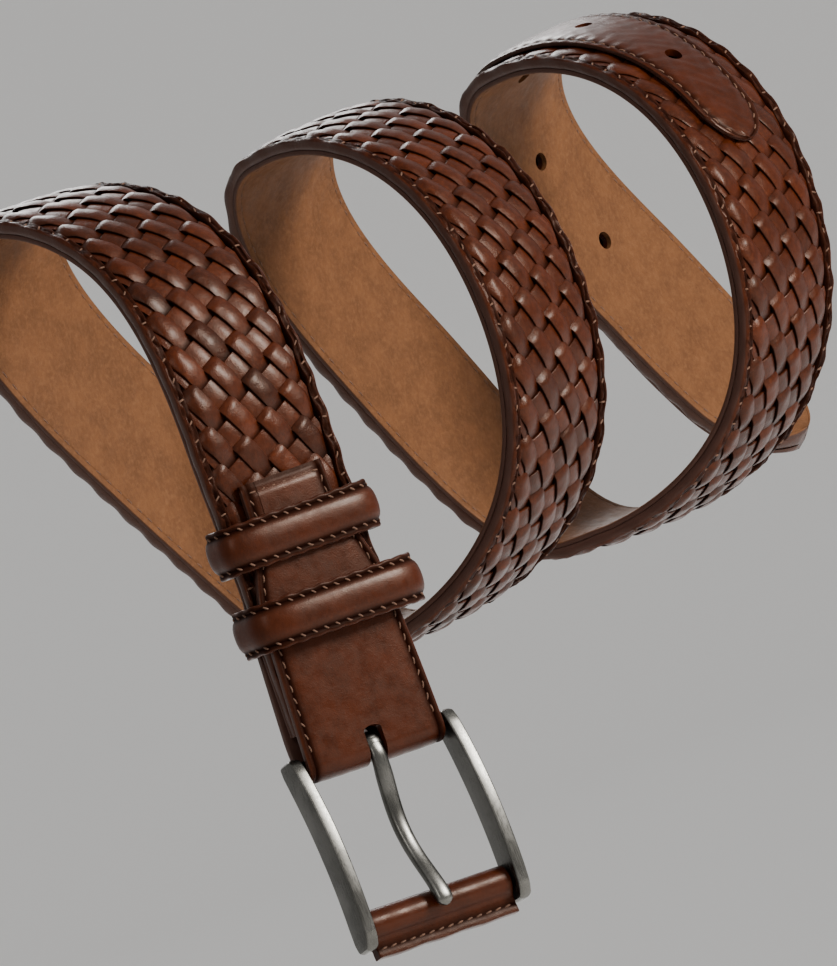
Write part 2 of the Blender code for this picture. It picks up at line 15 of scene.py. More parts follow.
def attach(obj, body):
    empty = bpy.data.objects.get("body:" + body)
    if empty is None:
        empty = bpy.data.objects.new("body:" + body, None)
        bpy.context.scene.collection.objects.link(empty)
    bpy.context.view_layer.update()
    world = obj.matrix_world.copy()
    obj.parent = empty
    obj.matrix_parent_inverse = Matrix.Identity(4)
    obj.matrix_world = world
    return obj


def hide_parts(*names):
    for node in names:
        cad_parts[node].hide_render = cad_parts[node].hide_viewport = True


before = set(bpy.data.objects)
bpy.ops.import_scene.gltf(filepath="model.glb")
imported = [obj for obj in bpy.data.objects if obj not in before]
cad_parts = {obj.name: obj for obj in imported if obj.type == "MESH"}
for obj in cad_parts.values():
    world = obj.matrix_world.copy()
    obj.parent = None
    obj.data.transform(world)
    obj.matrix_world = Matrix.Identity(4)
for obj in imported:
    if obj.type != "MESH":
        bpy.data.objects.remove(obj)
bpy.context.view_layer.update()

MM = 0.001

# The belt as a whole
BELT_LENGTH = 898.0 * MM
STRAP_WIDTH = 35.0 * MM
STRAP_WIDTH_AT_TAB = 32.6 * MM
PIECE_GAP = 0.3 * MM

# Leather thicknesses
LINING_THICKNESS = 1.2 * MM
WEAVE_EDGE_THICKNESS = 2.2 * MM
WEAVE_CROWN = 0.9 * MM
TAB_THICKNESS = 1.6 * MM
END_TAB_THICKNESS = 1.1 * MM

# The coil
COIL_RADIUS = 51.0 * MM
COIL_PITCH = 88.0 * MM
HANG_LENGTH = 75.5 * MM
HANG_TWIST = math.radians(20.0)
HANG_LEAN = 1.4 * MM
TWIST_RUN = 26.0 * MM
BACK_SQUARENESS = 3.0
HELD_AT_QUARTER = 5

# The buckle tab
STRAP_START = 7.0 * MM
FRONT_TAB_LENGTH = 60.6 * MM
RETURN_TAB_LENGTH = 52.0 * MM
RETURN_TAB_SAG = 0.6 * MM
RETURN_NARROWEST_AT = 0.36
TAB_WIDTH = 34.0 * MM
TAB_END_WIDTH = 21.0 * MM
TAB_FLAT_RUN = 12.0 * MM
SLOT_WIDTH = 4.3 * MM
SLOT_RISE = 4.2 * MM

# The keepers
KEEPER_WIDTH = 10.4 * MM
KEEPER_THICKNESS = 1.3 * MM
KEEPER_PADDING = 0.8 * MM
KEEPER_ROUNDNESS = 4.0
UPPER_KEEPER_AT = 48.2 * MM
UPPER_KEEPER_SLACK = 1.2 * MM
UPPER_KEEPER_SHIFT = 0.3 * MM
LOWER_KEEPER_AT = 30.6 * MM
LOWER_KEEPER_SLACK = 2.9 * MM
LOWER_KEEPER_SHIFT = 1.8 * MM

# The buckle
BAR_RADIUS = 1.6 * MM
BAR_CLEARANCE = 0.45 * MM
FRAME_WIDTH = 41.2 * MM
FRAME_LENGTH = 43.6 * MM
FRAME_HEAD = 2.2 * MM
PLATE_THICKNESS = 2.8 * MM
PLATE_DEPTH = 7.0 * MM
PLATE_BOW = 2.5 * MM
FAR_BAR_RADIUS = 1.7 * MM
FAR_BAR_FROM_END = 5.2 * MM
FAR_BAR_SET_BACK = 1.2 * MM
BUCKLE_SWING = math.radians(9.0)

# The wrap on the far bar
WRAP_THICKNESS = 1.5 * MM
WRAP_END_GAP = 0.35 * MM
FLAP_LENGTH = 3.7 * MM
FLAP_THICKNESS = 2.6 * MM

# The prong
PRONG_WIDTH = 3.5 * MM
PRONG_THICKNESS = 2.7 * MM
PRONG_EYE_WALL = 1.3 * MM
PRONG_OVERHANG = 1.6 * MM

# The free end
TIP_LENGTH = 24.0 * MM
TIP_FULLNESS = 2.2
END_TAB_LENGTH = 190.0 * MM
END_TAB_TONGUE_WIDTH = 20.0 * MM
END_TAB_INSET = 1.0 * MM
HOLE_COUNT = 5
HOLE_PITCH = 25.0 * MM
HOLE_RADIUS = 2.0 * MM
FIRST_HOLE_FROM_TONGUE = 25.0 * MM

# How finely each quarter turn of the route is divided
QUARTER_STEPS = 90

# Depths of the three flattened back halves, in coil radii
BACK_DEPTHS = (0.38, 0.50, 0.50)

# The route of the coil, from the front of the first arch to behind the last one. Each turn goes from the
# front over the top, down the back and under, one quarter turn for each of these.
# Columns: quarter turns, axial place in coil pitches, height in coil radii, twist in degrees
ROUTE = (
    (0.0, -0.198, 1.004, 14.5), (0.5, -0.128, 1.025, 7.9), (1.0, -0.048, 1.045, 0.0),
    (1.5, 0.100, 1.050, 0.0), (2.0, 0.350, 1.050, 0.0), (2.5, 0.600, 1.055, -1.0),
    (3.0, 0.743, 1.057, -2.3), (3.5, 0.876, 1.029, -3.8), (4.0, 0.908, 1.000, -2.8),
    (4.5, 0.967, 0.982, -1.1), (5.0, 1.053, 0.967, 3.3), (5.5, 1.170, 0.967, 3.0),
    (6.0, 1.370, 0.970, 1.0), (6.5, 1.570, 0.975, 0.0), (7.0, 1.681, 0.980, 0.0),
    (7.5, 1.803, 0.998, -5.0), (8.0, 1.853, 0.996, -3.1), (8.5, 1.919, 0.990, 1.2),
    (9.0, 1.989, 0.980, 5.1), (9.5, 2.110, 0.980, 4.0), (10.0, 2.340, 0.980, 2.0),
    (10.5, 2.560, 0.980, 0.0), (11.0, 2.700, 0.980, 0.0),
)

# Half-widths of the folded tab, from the squared end to the fold.
# Columns: share of the front tab's length, share of the way from the end width to the full width
TAB_OUTLINE = (
    (0.00, 0.00), (0.16, 0.05), (0.30, 0.42), (0.42, 0.74), (0.55, 0.84), (0.75, 0.92), (1.00, 1.00),
)

# Half-widths of the end tab, from its rounded tongue to the tip.
# Columns: share of the end tab's length, share of the way from the tongue width to the full width
END_TAB_OUTLINE = (
    (0.00, 0.00), (0.15, 0.05), (0.35, 0.28), (0.60, 0.70), (0.80, 1.00), (1.00, 1.00),
)

# The side plate's depth, from the pivot end to the far end.
# Columns: share of the frame's length, share of the plate's depth
PLATE_OUTLINE = (
    (0.000, 0.50), (0.020, 0.74), (0.060, 0.88), (0.140, 0.93), (0.300, 0.97), (0.500, 1.00),
    (0.700, 1.00), (0.860, 1.00), (0.940, 0.94), (0.980, 0.72), (1.000, 0.44),
)

# The prong's line from the pivot bar to its tip.
# Columns: share of the way to the far bar, height share (0 at the bars' line, 1 resting on the wrap),
# share of the prong's width, share of its thickness
PRONG_LINE = (
    (-0.04, 0.52, 1.00, 0.66), (0.04, 0.60, 1.00, 0.80), (0.13, 0.46, 1.00, 0.92),
    (0.25, 0.12, 0.98, 0.96), (0.40, -0.22, 0.92, 1.00), (0.54, -0.22, 0.88, 1.00),
    (0.68, 0.12, 0.88, 1.00), (0.82, 0.66, 0.92, 1.00), (0.93, 0.98, 0.98, 0.98),
    (1.00, 1.04, 0.92, 0.86),
)


def smooth(values):
    """0 below 0, 1 above 1 and a smooth rise between."""
    values = np.clip(values, 0.0, 1.0)
    return values * values * (3.0 - 2.0 * values)


def unit(vectors):
    return vectors / np.linalg.norm(vectors, axis=-1, keepdims=True)


def full_turn(steps):
    return 2.0 * np.pi * np.arange(steps) / steps


def powered(values, power):
    return np.sign(values) * np.abs(values) ** power


def stacked(x, y, z):
    return np.stack(np.broadcast_arrays(x, y, z), axis=-1)


def spline_values(knots, values, wanted):
    """Values of the cubic curve through the knots, level at the first one and free at the last."""
    gaps = np.diff(knots)
    matrix = np.diag(2.0 * (np.append(0.0, gaps) + np.append(gaps, 0.0)))
    matrix += np.diag(gaps, 1) + np.diag(gaps, -1)
    right = 6.0 * np.diff(np.diff(values) / gaps, prepend=0.0, append=0.0)
    matrix[-1] = 0.0
    matrix[-1, -1] = 1.0
    right[-1] = 0.0
    bends = np.linalg.solve(matrix, right)
    cell = np.clip(np.searchsorted(knots, wanted) - 1, 0, len(knots) - 2)
    gap = gaps[cell]
    left_share = (knots[cell + 1] - wanted) / gap
    right_share = (wanted - knots[cell]) / gap
    straight = left_share * values[cell] + right_share * values[cell + 1]
    curved = (left_share**3 - left_share) * bends[cell] + (right_share**3 - right_share) * bends[cell + 1]
    return straight + curved * gap**2 / 6.0


def table_values(table, places, column=1):
    rows = np.array(table)
    return np.interp(places, rows[:, 0], rows[:, column])


def curve_values(table, places, column=1):
    """A smooth curve through a table's rows."""
    rows = np.array(table)
    return spline_values(rows[:, 0], rows[:, column], np.asarray(places, dtype=float))


def quarter_outline(squareness, depth):
    """Even steps along a quarter of a turn's outline, from its middle to its top: depth, height."""
    turn = np.linspace(0.0, math.pi / 2, 3000)
    across = np.abs(np.cos(turn)) ** (2.0 / squareness)
    up = np.abs(np.sin(turn)) ** (2.0 / squareness)
    steps = np.hypot(np.diff(across) * depth, np.diff(up))
    distances = np.concatenate([[0.0], np.cumsum(steps)]) / steps.sum()
    even = np.linspace(0.0, 1.0, QUARTER_STEPS + 1)
    return np.interp(even, distances, across) * depth, np.interp(even, distances, up)


def coil_outline(quarters):
    """Depth and height shares for each step of this many quarter turns, the front being positive."""
    depths = [1.0]
    heights = [0.0]
    for quarter in range(quarters):
        at_back = quarter % 4 in (1, 2)
        depth = BACK_DEPTHS[quarter // 4] if at_back else 1.0
        across, up = quarter_outline(BACK_SQUARENESS if at_back else 2.0, depth)
        if quarter % 2:
            across, up = across[::-1], up[::-1]
        depths.extend(-across[1:] if at_back else across[1:])
        heights.extend(-up[1:] if quarter % 4 in (2, 3) else up[1:])
    return np.array(depths), np.array(heights)


def belt_route():
    """Distances, points, tangents and across directions along the lining's inner face."""
    table = np.array(ROUTE)
    depths, heights = coil_outline(int(table[-1, 0]))
    steps = np.hypot(np.diff(depths), np.diff(heights))
    places = np.concatenate([[0.0], np.cumsum(steps)])
    knots = places[np.round(table[:, 0] * QUARTER_STEPS).astype(int)]
    axial, radius, twist = (spline_values(knots, table[:, column], places) for column in (1, 2, 3))
    radius = radius * COIL_RADIUS
    twist = np.radians(twist)
    coil = np.stack([axial * COIL_PITCH, -radius * depths, radius * heights], axis=1)
    hang_steps = np.linspace(HANG_LENGTH, 0.0, 40)[:-1]
    lean = HANG_LEAN * (hang_steps / HANG_LENGTH) ** 2
    hang = coil[0] - stacked(lean, 0.0, hang_steps)
    hang_twist = HANG_TWIST + (twist[0] - HANG_TWIST) * smooth(1.0 - hang_steps / TWIST_RUN)
    twist = np.concatenate([hang_twist, twist])[:, None]
    points = np.concatenate([hang, coil]) - coil[HELD_AT_QUARTER * QUARTER_STEPS]
    tangents = unit(np.gradient(points, axis=0))
    flat = unit(tangents * (0.0, 1.0, 1.0))
    outward = np.stack([flat[:, 0], -flat[:, 2], flat[:, 1]], axis=1)
    across = unit(np.cross(outward, tangents)) * -1.0
    normal = np.cross(across, tangents)
    turned_across = across * np.cos(twist) + normal * np.sin(twist)
    steps = np.linalg.norm(np.diff(points, axis=0), axis=1)
    distances = np.concatenate([[0.0], np.cumsum(steps)])
    return distances, points, tangents, turned_across


DISTANCES, POINTS, TANGENTS, ACROSS = belt_route()

# The weave. One strand set slants forward and shows as long pillows, the other as flat steps between them.
# Each length is along or across the belt from one crossing to the next.
ROW_STEP = 3.875 * MM
REPEAT = 8.3 * MM
PILLOW_SLANT = 6.3 * MM
STEP_SLANT = 2.0 * MM
FIRST_PILLOW_AT = 77.9 * MM
FIRST_ROW_ACROSS = 3.875 * MM
PILLOW_HALF_WIDTH = 2.45 * MM
STEP_HALF_WIDTH = 2.45 * MM
STRAND_THICKNESS = 0.9 * MM
PILLOW_HIGH = 0.42 * MM
PILLOW_LOW = -1.00 * MM
PILLOW_DOME = 0.46 * MM
PILLOW_TILT = 0.13 * MM
PILLOW_DIP_AT_BORDER = 0.85 * MM
STEP_HIGH = -0.30 * MM
STEP_LOW = -0.85 * MM
STEP_DOME = 0.10 * MM
STEP_DIP_AT_BORDER = 0.45 * MM
STRAND_TONES = 0.15
# Shares of half a repeat from a pillow's middle: where it comes up, is full, starts to dive and is under
PILLOW_UP_FROM = -0.84
PILLOW_FULL_FROM = 0.02
PILLOW_DIVE_FROM = 0.46
PILLOW_DIVE_TO = 0.78
WEAVE_FLOOR = 2.15 * MM
WEAVE_FROM = 9.0 * MM
WEAVE_TO = BELT_LENGTH - 26.0 * MM

# The borders and the seams
BORDER_WIDTH = 2.6 * MM
BORDER_STITCH_IN = 1.45 * MM
BORDER_CRUMPLE = 0.12 * MM
BORDER_SWAY = 0.144 * MM
BORDER_WAVE = 0.14 * MM
STITCH_DEPTH = 0.42 * MM
STITCH_PITCH = 4.15 * MM
SEAM_PITCH = 2.65 * MM
SEAM_STITCH = 1.9 * MM
TAB_SEAM_IN = 1.6 * MM
END_SEAM_IN = 1.55 * MM
THREAD_RADIUS = 0.22 * MM
FINE_THREAD_RADIUS = 0.20 * MM
BORDER_STITCH_LEAN = math.radians(62.0)
BORDER_STITCH_SPREAD = 0.38
KEEPER_STITCH_LEAN = math.radians(48.0)
WRAP_STITCH_LEAN = 0.20
SEAM_STEP = 1.0 * MM

# The tab's slot, and its rounded, grooved and burnished squared end
SLOT_ROUND = 1.0 * MM
TAB_END_ROUND = 1.6 * MM
TAB_GROOVE_IN = 2.0 * MM
TAB_GROOVE_WIDTH = 0.5 * MM
TAB_GROOVE_DEPTH = 0.28 * MM
TAB_BURNT_RUN = 3.4 * MM

# The keepers' scalloped edges and the place of their seams
SCALLOP_PITCH = 3.9 * MM
SCALLOP_OUT = 0.10 * MM
SCALLOP_UP = 0.05 * MM
KEEPER_SEAM_SHARE = 0.76

# The end tab's tongue: how much slimmer it is sewn, its crumpled run, its dents and puckers
TONGUE_SLIMMER = 0.14
TONGUE_RUN = 60.0 * MM
TONGUE_DENT = 0.17 * MM
TAB_DENT = 0.05 * MM
PUCKER_PITCH = 3.1 * MM
PUCKER_SHARE = 0.14

# The prong's rounded top, past its CAD line, and its fullness in the slot and beyond it
PRONG_TOP_SHARE = 0.02
PRONG_SLOT_FULLNESS = 1.03
PRONG_FULLNESS = 1.15

# Places and heights that several pieces share
EDGE_TOP = LINING_THICKNESS + PIECE_GAP + WEAVE_EDGE_THICKNESS
TAB_INNER_HEIGHT = EDGE_TOP + PIECE_GAP
FOLD_RADIUS = BAR_RADIUS + BAR_CLEARANCE
BAR_HEIGHT = TAB_INNER_HEIGHT - FOLD_RADIUS
PLATE_CENTRE = FRAME_WIDTH / 2 - PLATE_THICKNESS / 2
FAR_BAR_DROP = FRAME_LENGTH - FRAME_HEAD - FAR_BAR_FROM_END
WRAP_RADIUS = FAR_BAR_RADIUS + PIECE_GAP + WRAP_THICKNESS
TIP_START = BELT_LENGTH - TIP_LENGTH
END_TAB_START = BELT_LENGTH - END_TAB_LENGTH
FIRST_HOLE_AT = END_TAB_START + FIRST_HOLE_FROM_TONGUE

# The photograph's frame, from its fitted camera
CAMERA_TURN = math.radians(41.41)
CAMERA_ROLL = math.radians(20.49)
CAMERA_DISTANCE = 4.0
VIEW_HEIGHT = 209.1 * MM
VIEW_CENTRE_ACROSS = -5.3 * MM
VIEW_CENTRE_UP = -76.5 * MM
IMAGE_SENSOR = 36.0

# The room
FLOOR_DROP = 0.30
ROOM_FLAT = 8.4
ROOM_SWEEP = 0.9
ROOM_WALL_TOP = 1.6

# Colours
LEATHER_BASE = (0.031, 0.0052, 0.0009)
LEATHER_DEEP = (0.0042, 0.0012, 0.0007)
LEATHER_LIGHT = (0.056, 0.0115, 0.0026)
PLAIN_BASE = (0.032, 0.0055, 0.0009)
PLAIN_LIGHT = (0.047, 0.0090, 0.0018)
LINING_DEEP = (0.03, 0.012, 0.005)
LINING_BASE = (0.100, 0.040, 0.015)
LINING_LIGHT = (0.135, 0.058, 0.024)
EDGE_PAINT = (0.036, 0.016, 0.012)
THREAD = (0.105, 0.050, 0.028)
METAL_DARK = (0.078, 0.076, 0.069)
METAL_LIGHT = (0.132, 0.129, 0.119)


def route_values(values, along):
    return stacked(*(np.interp(along, DISTANCES, values[:, i]) for i in range(3)))


def belt_points(along, across, up):
    """Points in space of points given in belt coordinates."""
    along, across, up = np.broadcast_arrays(along, across, up)
    tangent = unit(route_values(TANGENTS, along))
    side = route_values(ACROSS, along)
    side = unit(side - tangent * np.sum(side * tangent, axis=-1, keepdims=True))
    normal = np.cross(side, tangent)
    beyond = along - np.clip(along, 0.0, DISTANCES[-1])
    place = route_values(POINTS, along) + tangent * beyond[..., None]
    return place + side * across[..., None] + normal * up[..., None]


def belt_matrix(along, up):
    """A frame on the belt: X across, Y inwards and Z along it."""
    tangent = Vector(unit(route_values(TANGENTS, along)))
    side = Vector(route_values(ACROSS, along))
    side = (side - tangent * side.dot(tangent)).normalized()
    rotation = Matrix((side, tangent.cross(side), tangent)).transposed()
    return Matrix.Translation(Vector(belt_points(along, 0.0, up))) @ rotation.to_4x4()


def placed(matrix, points):
    """Local points moved into place."""
    turn = np.array(matrix.to_3x3())
    return points @ turn.T + np.array(matrix.translation)


# Meshes


def add_object(name, data):
    made = bpy.data.objects.new(name, data)
    bpy.context.scene.collection.objects.link(made)
    return made


def make_object(name, points, faces, shade=1.0, tone_and_painted_light=1.0, sharp=40.0, weld=False):
    """A mesh from arrays of points and four-cornered faces, with its shading values per point."""
    mesh = bpy.data.meshes.new(name)
    mesh.vertices.add(len(points))
    mesh.vertices.foreach_set("co", np.asarray(points, dtype=np.float32).ravel())
    mesh.loops.add(faces.size)
    mesh.loops.foreach_set("vertex_index", faces.astype(np.int32).ravel())
    mesh.polygons.add(len(faces))
    mesh.polygons.foreach_set("loop_start", np.arange(0, faces.size, 4, dtype=np.int32))
    mesh.update(calc_edges=True)
    for label, values in (("shade", shade), ("tone_and_painted_light", tone_and_painted_light)):
        layer = mesh.attributes.new(label, "FLOAT", "POINT")
        layer.data.foreach_set("value", np.broadcast_to(values, len(points)).astype(np.float32))
    if weld:
        shape = bmesh.new()
        shape.from_mesh(mesh)
        bmesh.ops.remove_doubles(shape, verts=shape.verts, dist=1e-6)
        bmesh.ops.recalc_face_normals(shape, faces=shape.faces)
        shape.to_mesh(mesh)
        shape.free()
    mesh.shade_smooth()
    mesh.set_sharp_from_angle(angle=math.radians(sharp))
    return add_object(name, mesh)


def grid_faces(rows, columns, loop=False):
    """Corner numbers of the faces between rings of points, the last joined to the first in a loop."""
    numbers = np.arange(rows * columns).reshape(rows, columns)
    numbers = np.concatenate([numbers, numbers[:, :1]], axis=1)
    if loop:
        numbers = np.concatenate([numbers, numbers[:1]])
    corners = (numbers[:-1, :-1], numbers[:-1, 1:], numbers[1:, 1:], numbers[1:, :-1])
    return np.stack(corners, axis=-1).reshape(-1, 4)


def closed_loft(name, points, shade=1.0, sharp=40.0, loop=False):
    """A skin round the rings of points, closed at both ends or joined into a loop."""
    shade = np.broadcast_to(shade, points.shape[:2])
    if not loop:
        ends = [np.broadcast_to(ring.mean(axis=0), (1, *ring.shape)) for ring in (points[0], points[-1])]
        points = np.concatenate([ends[0], points, ends[1]])
        shade = np.concatenate([shade[:1], shade, shade[-1:]])
    faces = grid_faces(*points.shape[:2], loop)
    return make_object(name, points.reshape(-1, 3), faces, shade.ravel(), sharp=sharp, weld=True)


def ribbons(name, points, shade=1.0, tone_and_painted_light=1.0, keep=True, sharp=30.0):
    """Many ribbons in one mesh. Points are numbered by ribbon, row and place round the section."""
    count, rows, columns = points.shape[:3]
    keep = np.broadcast_to(keep, (count, rows))
    kept = np.repeat(keep[:, :-1] & keep[:, 1:], columns, axis=1)
    shifted = grid_faces(rows, columns)[None] + (np.arange(count) * rows * columns)[:, None, None]
    used, faces = np.unique(shifted[kept], return_inverse=True)
    shade, tone_and_painted_light = (np.broadcast_to(values, points.shape[:3]).reshape(-1)[used] for values in (shade, tone_and_painted_light))
    return make_object(name, points.reshape(-1, 3)[used], faces.reshape(-1, 4), shade, tone_and_painted_light, sharp)


def whole_section(columns, middle=1):
    """Across, height and shade round a section, from its columns on one side up to those in the middle."""
    columns = columns + [(-across, up, shade) for across, up, shade in columns[-1 - middle :: -1]]
    shape = columns[0][0].shape
    rings = [[np.broadcast_to(value, shape) for value in values] for values in zip(*columns)]
    return [np.concatenate(ring, axis=1) for ring in rings]


def cut(target, cutter):
    """Cuts a closed shape away and keeps the result as the object's own mesh."""
    change = target.modifiers.new("cut", "BOOLEAN")
    change.operation = "DIFFERENCE"
    change.solver = "EXACT"
    change.object = cutter
    bpy.context.view_layer.update()
    evaluated = target.evaluated_get(bpy.context.evaluated_depsgraph_get())
    mesh = bpy.data.meshes.new_from_object(evaluated)
    target.modifiers.clear()
    mesh.shade_smooth()
    mesh.set_sharp_from_angle(angle=math.radians(40.0))
    old = target.data
    target.data = mesh
    bpy.data.meshes.remove(old)
    # The new faces of the cut come without shading values
    for label in ("shade", "tone_and_painted_light"):
        values = np.empty(len(mesh.vertices), dtype=np.float32)
        mesh.attributes[label].data.foreach_get("value", values)
        values[values < 0.01] = 1.0
        mesh.attributes[label].data.foreach_set("value", values)


def tube_rings(start, end, radius, steps):
    """Two rings round a straight line between two local points."""
    start, end = np.array(start), np.array(end)
    line = unit(end - start)
    first = unit(np.cross(line, (0.0, 0.0, 1.0)))
    second = np.cross(line, first)
    turn = full_turn(steps)[:, None]
    ring = radius * (first * np.cos(turn) + second * np.sin(turn))
    return np.stack([start + ring, end + ring])


# Materials


class Nodes:
    """Makes and joins the nodes of one material."""

    def __init__(self, name):
        self.material = bpy.data.materials.new(name)
        self.material.use_nodes = True
        self.tree = self.material.node_tree
        self.shader = self.tree.nodes["Principled BSDF"]
        self.place = self.add("ShaderNodeTexCoord").outputs["Object"]

    def add(self, kind, inputs=(), **settings):
        node = self.tree.nodes.new(kind)
        for key, value in settings.items():
            setattr(node, key, value)
        for key, value in dict(inputs).items():
            socket = node.inputs[key]
            if isinstance(value, bpy.types.NodeSocket):
                self.tree.links.new(value, socket)
            else:
                socket.default_value = (*value, 1.0) if socket.type == "RGBA" else value
        return node

    def noise(self, scale, detail=3.0, roughness=0.55, place=None):
        inputs = {"Vector": place or self.place, "Scale": scale, "Detail": detail, "Roughness": roughness}
        return self.add("ShaderNodeTexNoise", inputs).outputs["Fac"]

    def pulled(self, scale):
        return self.add("ShaderNodeMapping", {"Vector": self.place, "Scale": scale}).outputs[0]

    def math(self, operation, first, second):
        return self.add("ShaderNodeMath", {0: first, 1: second}, operation=operation).outputs[0]

    def ramp(self, value, low, high, to_low=0.0, to_high=1.0):
        inputs = {"Value": value, "From Min": low, "From Max": high, "To Min": to_low, "To Max": to_high}
        return self.add("ShaderNodeMapRange", inputs).outputs[0]

    def mix(self, share, first, second, blend="MIX"):
        inputs = {0: share, 6: first, 7: second}
        return self.add("ShaderNodeMix", inputs, data_type="RGBA", blend_type=blend).outputs[2]

    def attribute(self, name):
        return self.add("ShaderNodeAttribute", attribute_name=name).outputs["Fac"]

    def bump(self, height, strength, distance, **more):
        inputs = {"Height": height, "Strength": strength, "Distance": distance, **more}
        return self.add("ShaderNodeBump", inputs).outputs["Normal"]

    def link(self, value, socket):
        self.tree.links.new(value, self.shader.inputs[socket])

    def set(self, **values):
        for key, value in values.items():
            self.shader.inputs[key.replace("_", " ")].default_value = value


def leather(name, deep, base, light, rough=(0.28, 0.44), coat=0.05, grain=0.5, creased=1.0):
    """Dyed leather: cloudy colour, fine grain and creases, darkened by painted shade or given its edge paint
    by its shade values.
    """
    made = Nodes(name)
    clouds = made.ramp(made.noise(170.0, 4.0), 0.38, 0.66)
    mottle = made.ramp(made.noise(900.0), 0.48, 0.78, 0.0, 0.55 * creased)
    streaks = made.noise(1500.0, 2.0, place=made.pulled((1.0, 2.2, 0.6)))
    cloudy = tuple(0.62 * b + 0.38 * d for b, d in zip(base, deep))
    colour = made.mix(clouds, cloudy, base)
    colour = made.mix(mottle, colour, light)
    colour = made.mix(made.ramp(streaks, 0.45, 0.75, 0.0, 0.35), colour, light)
    shade = made.attribute("shade")
    # Painted shade: low shade values darken the colour towards the deep colour in grooves, channels and gaps
    colour = made.mix(made.ramp(shade, 0.0, 0.9), deep, colour)
    # Random colour change per strand, times painted light that makes lit side walls lighter
    tone_and_painted_light = made.attribute("tone_and_painted_light")
    grey = made.add("ShaderNodeCombineColor", {0: tone_and_painted_light, 1: tone_and_painted_light, 2: tone_and_painted_light}).outputs[0]
    colour = made.mix(1.0, colour, grey, "MULTIPLY")
    made.link(made.mix(made.ramp(shade, 1.2, 1.8), colour, EDGE_PAINT), "Base Color")
    worn = made.ramp(made.noise(420.0, 4.0), 0.35, 0.7, *rough)
    made.link(made.math("ADD", worn, made.ramp(shade, 0.7, 0.1, 0.0, 0.2)), "Roughness")
    pores = made.add("ShaderNodeTexVoronoi", {"Vector": made.place, "Scale": 3800.0}).outputs["Distance"]
    creases = made.noise(2600.0, 4.0, 0.6)
    height = made.math("ADD", made.math("MULTIPLY", pores, 0.7), creases)
    fine = made.bump(height, grain, 0.00009)
    made.link(made.bump(made.noise(260.0, 2.0), 0.35 * creased, 0.0006, Normal=fine), "Normal")
    # Painted shade also dims the reflection and coat where shade values are low
    made.link(made.ramp(shade, 0.1, 0.9, 0.02, 0.15), "Specular IOR Level")
    made.link(made.ramp(shade, 0.3, 0.95, 0.0, coat), "Coat Weight")
    made.set(Coat_Roughness=0.22, Specular_Tint=(1.0, 0.74, 0.58, 1.0))
    return made.material


def thread_material():
    made = Nodes("thread")
    twist = made.noise(2600.0, 2.0)
    dark = tuple(0.5 * value for value in THREAD)
    made.link(made.mix(made.ramp(twist, 0.35, 0.65), dark, THREAD), "Base Color")
    made.link(made.bump(twist, 0.5, 0.0001), "Normal")
    made.set(Roughness=0.7, Specular_IOR_Level=0.25)
    return made.material


def metal_material():
    made = Nodes("brushed_nickel")
    lines = made.noise(5200.0, 3.0, 0.6, place=made.pulled((1.0, 1.0, 0.03)))
    clouds = made.noise(120.0)
    made.link(made.mix(made.ramp(clouds, 0.35, 0.7), METAL_DARK, METAL_LIGHT), "Base Color")
    rough = made.math("ADD", made.ramp(lines, 0.3, 0.7, 0.20, 0.36), made.ramp(clouds, 0.3, 0.7, 0.0, 0.06))
    made.link(rough, "Roughness")
    made.link(made.bump(lines, 0.12, 0.00004), "Normal")
    made.set(Metallic=1.0)
    return made.material


def dress(piece, finish, slot, body, *nodes):
    """Gives a piece its finish and its body, and hides the nodes that it stands for. Its slot is not used.
    """
    piece.data.materials.clear()
    piece.data.materials.append(finish)
    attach(piece, body)
    if nodes:
        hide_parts(*nodes)
    return piece


# The strap


def tip_shares(along):
    into_tip = np.clip((along - TIP_START) / TIP_LENGTH, 0.0, 1.0)
    return np.maximum(np.sqrt(np.maximum(1.0 - into_tip**TIP_FULLNESS, 0.0)), 0.05)


def strap_half(along):
    widen = smooth((along - FRONT_TAB_LENGTH + TAB_FLAT_RUN) / (2.0 * TAB_FLAT_RUN))
    width = STRAP_WIDTH_AT_TAB + (STRAP_WIDTH - STRAP_WIDTH_AT_TAB) * widen
    return width / 2 * tip_shares(along)


def weave_top(along, share):
    """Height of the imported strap's outer face."""
    crown = WEAVE_CROWN * smooth((along - FRONT_TAB_LENGTH) / TAB_FLAT_RUN)
    return EDGE_TOP + crown * (1.0 - share**2)


def relief(along):
    """How far the strands stand out: less under the buckle tab and under the end tab."""
    at_tab = smooth((along - FRONT_TAB_LENGTH + 2.0 * MM) / TAB_FLAT_RUN)
    at_end = smooth((along - END_TAB_START + 8.0 * MM) / (10.0 * MM))
    return (0.55 + 0.45 * at_tab) * (1.0 - 0.45 * at_end)


def weave_beat(along):
    return np.cos(2.0 * np.pi * (along - FIRST_PILLOW_AT) / REPEAT)


def strap_stations(step):
    """Places along the strap in these steps, closer together round its tip."""
    straight = np.arange(STRAP_START, TIP_START, step)
    turns = np.linspace(0.0, math.pi / 2, 24)
    return np.concatenate([straight, TIP_START + TIP_LENGTH * np.sin(turns)])[:, None]


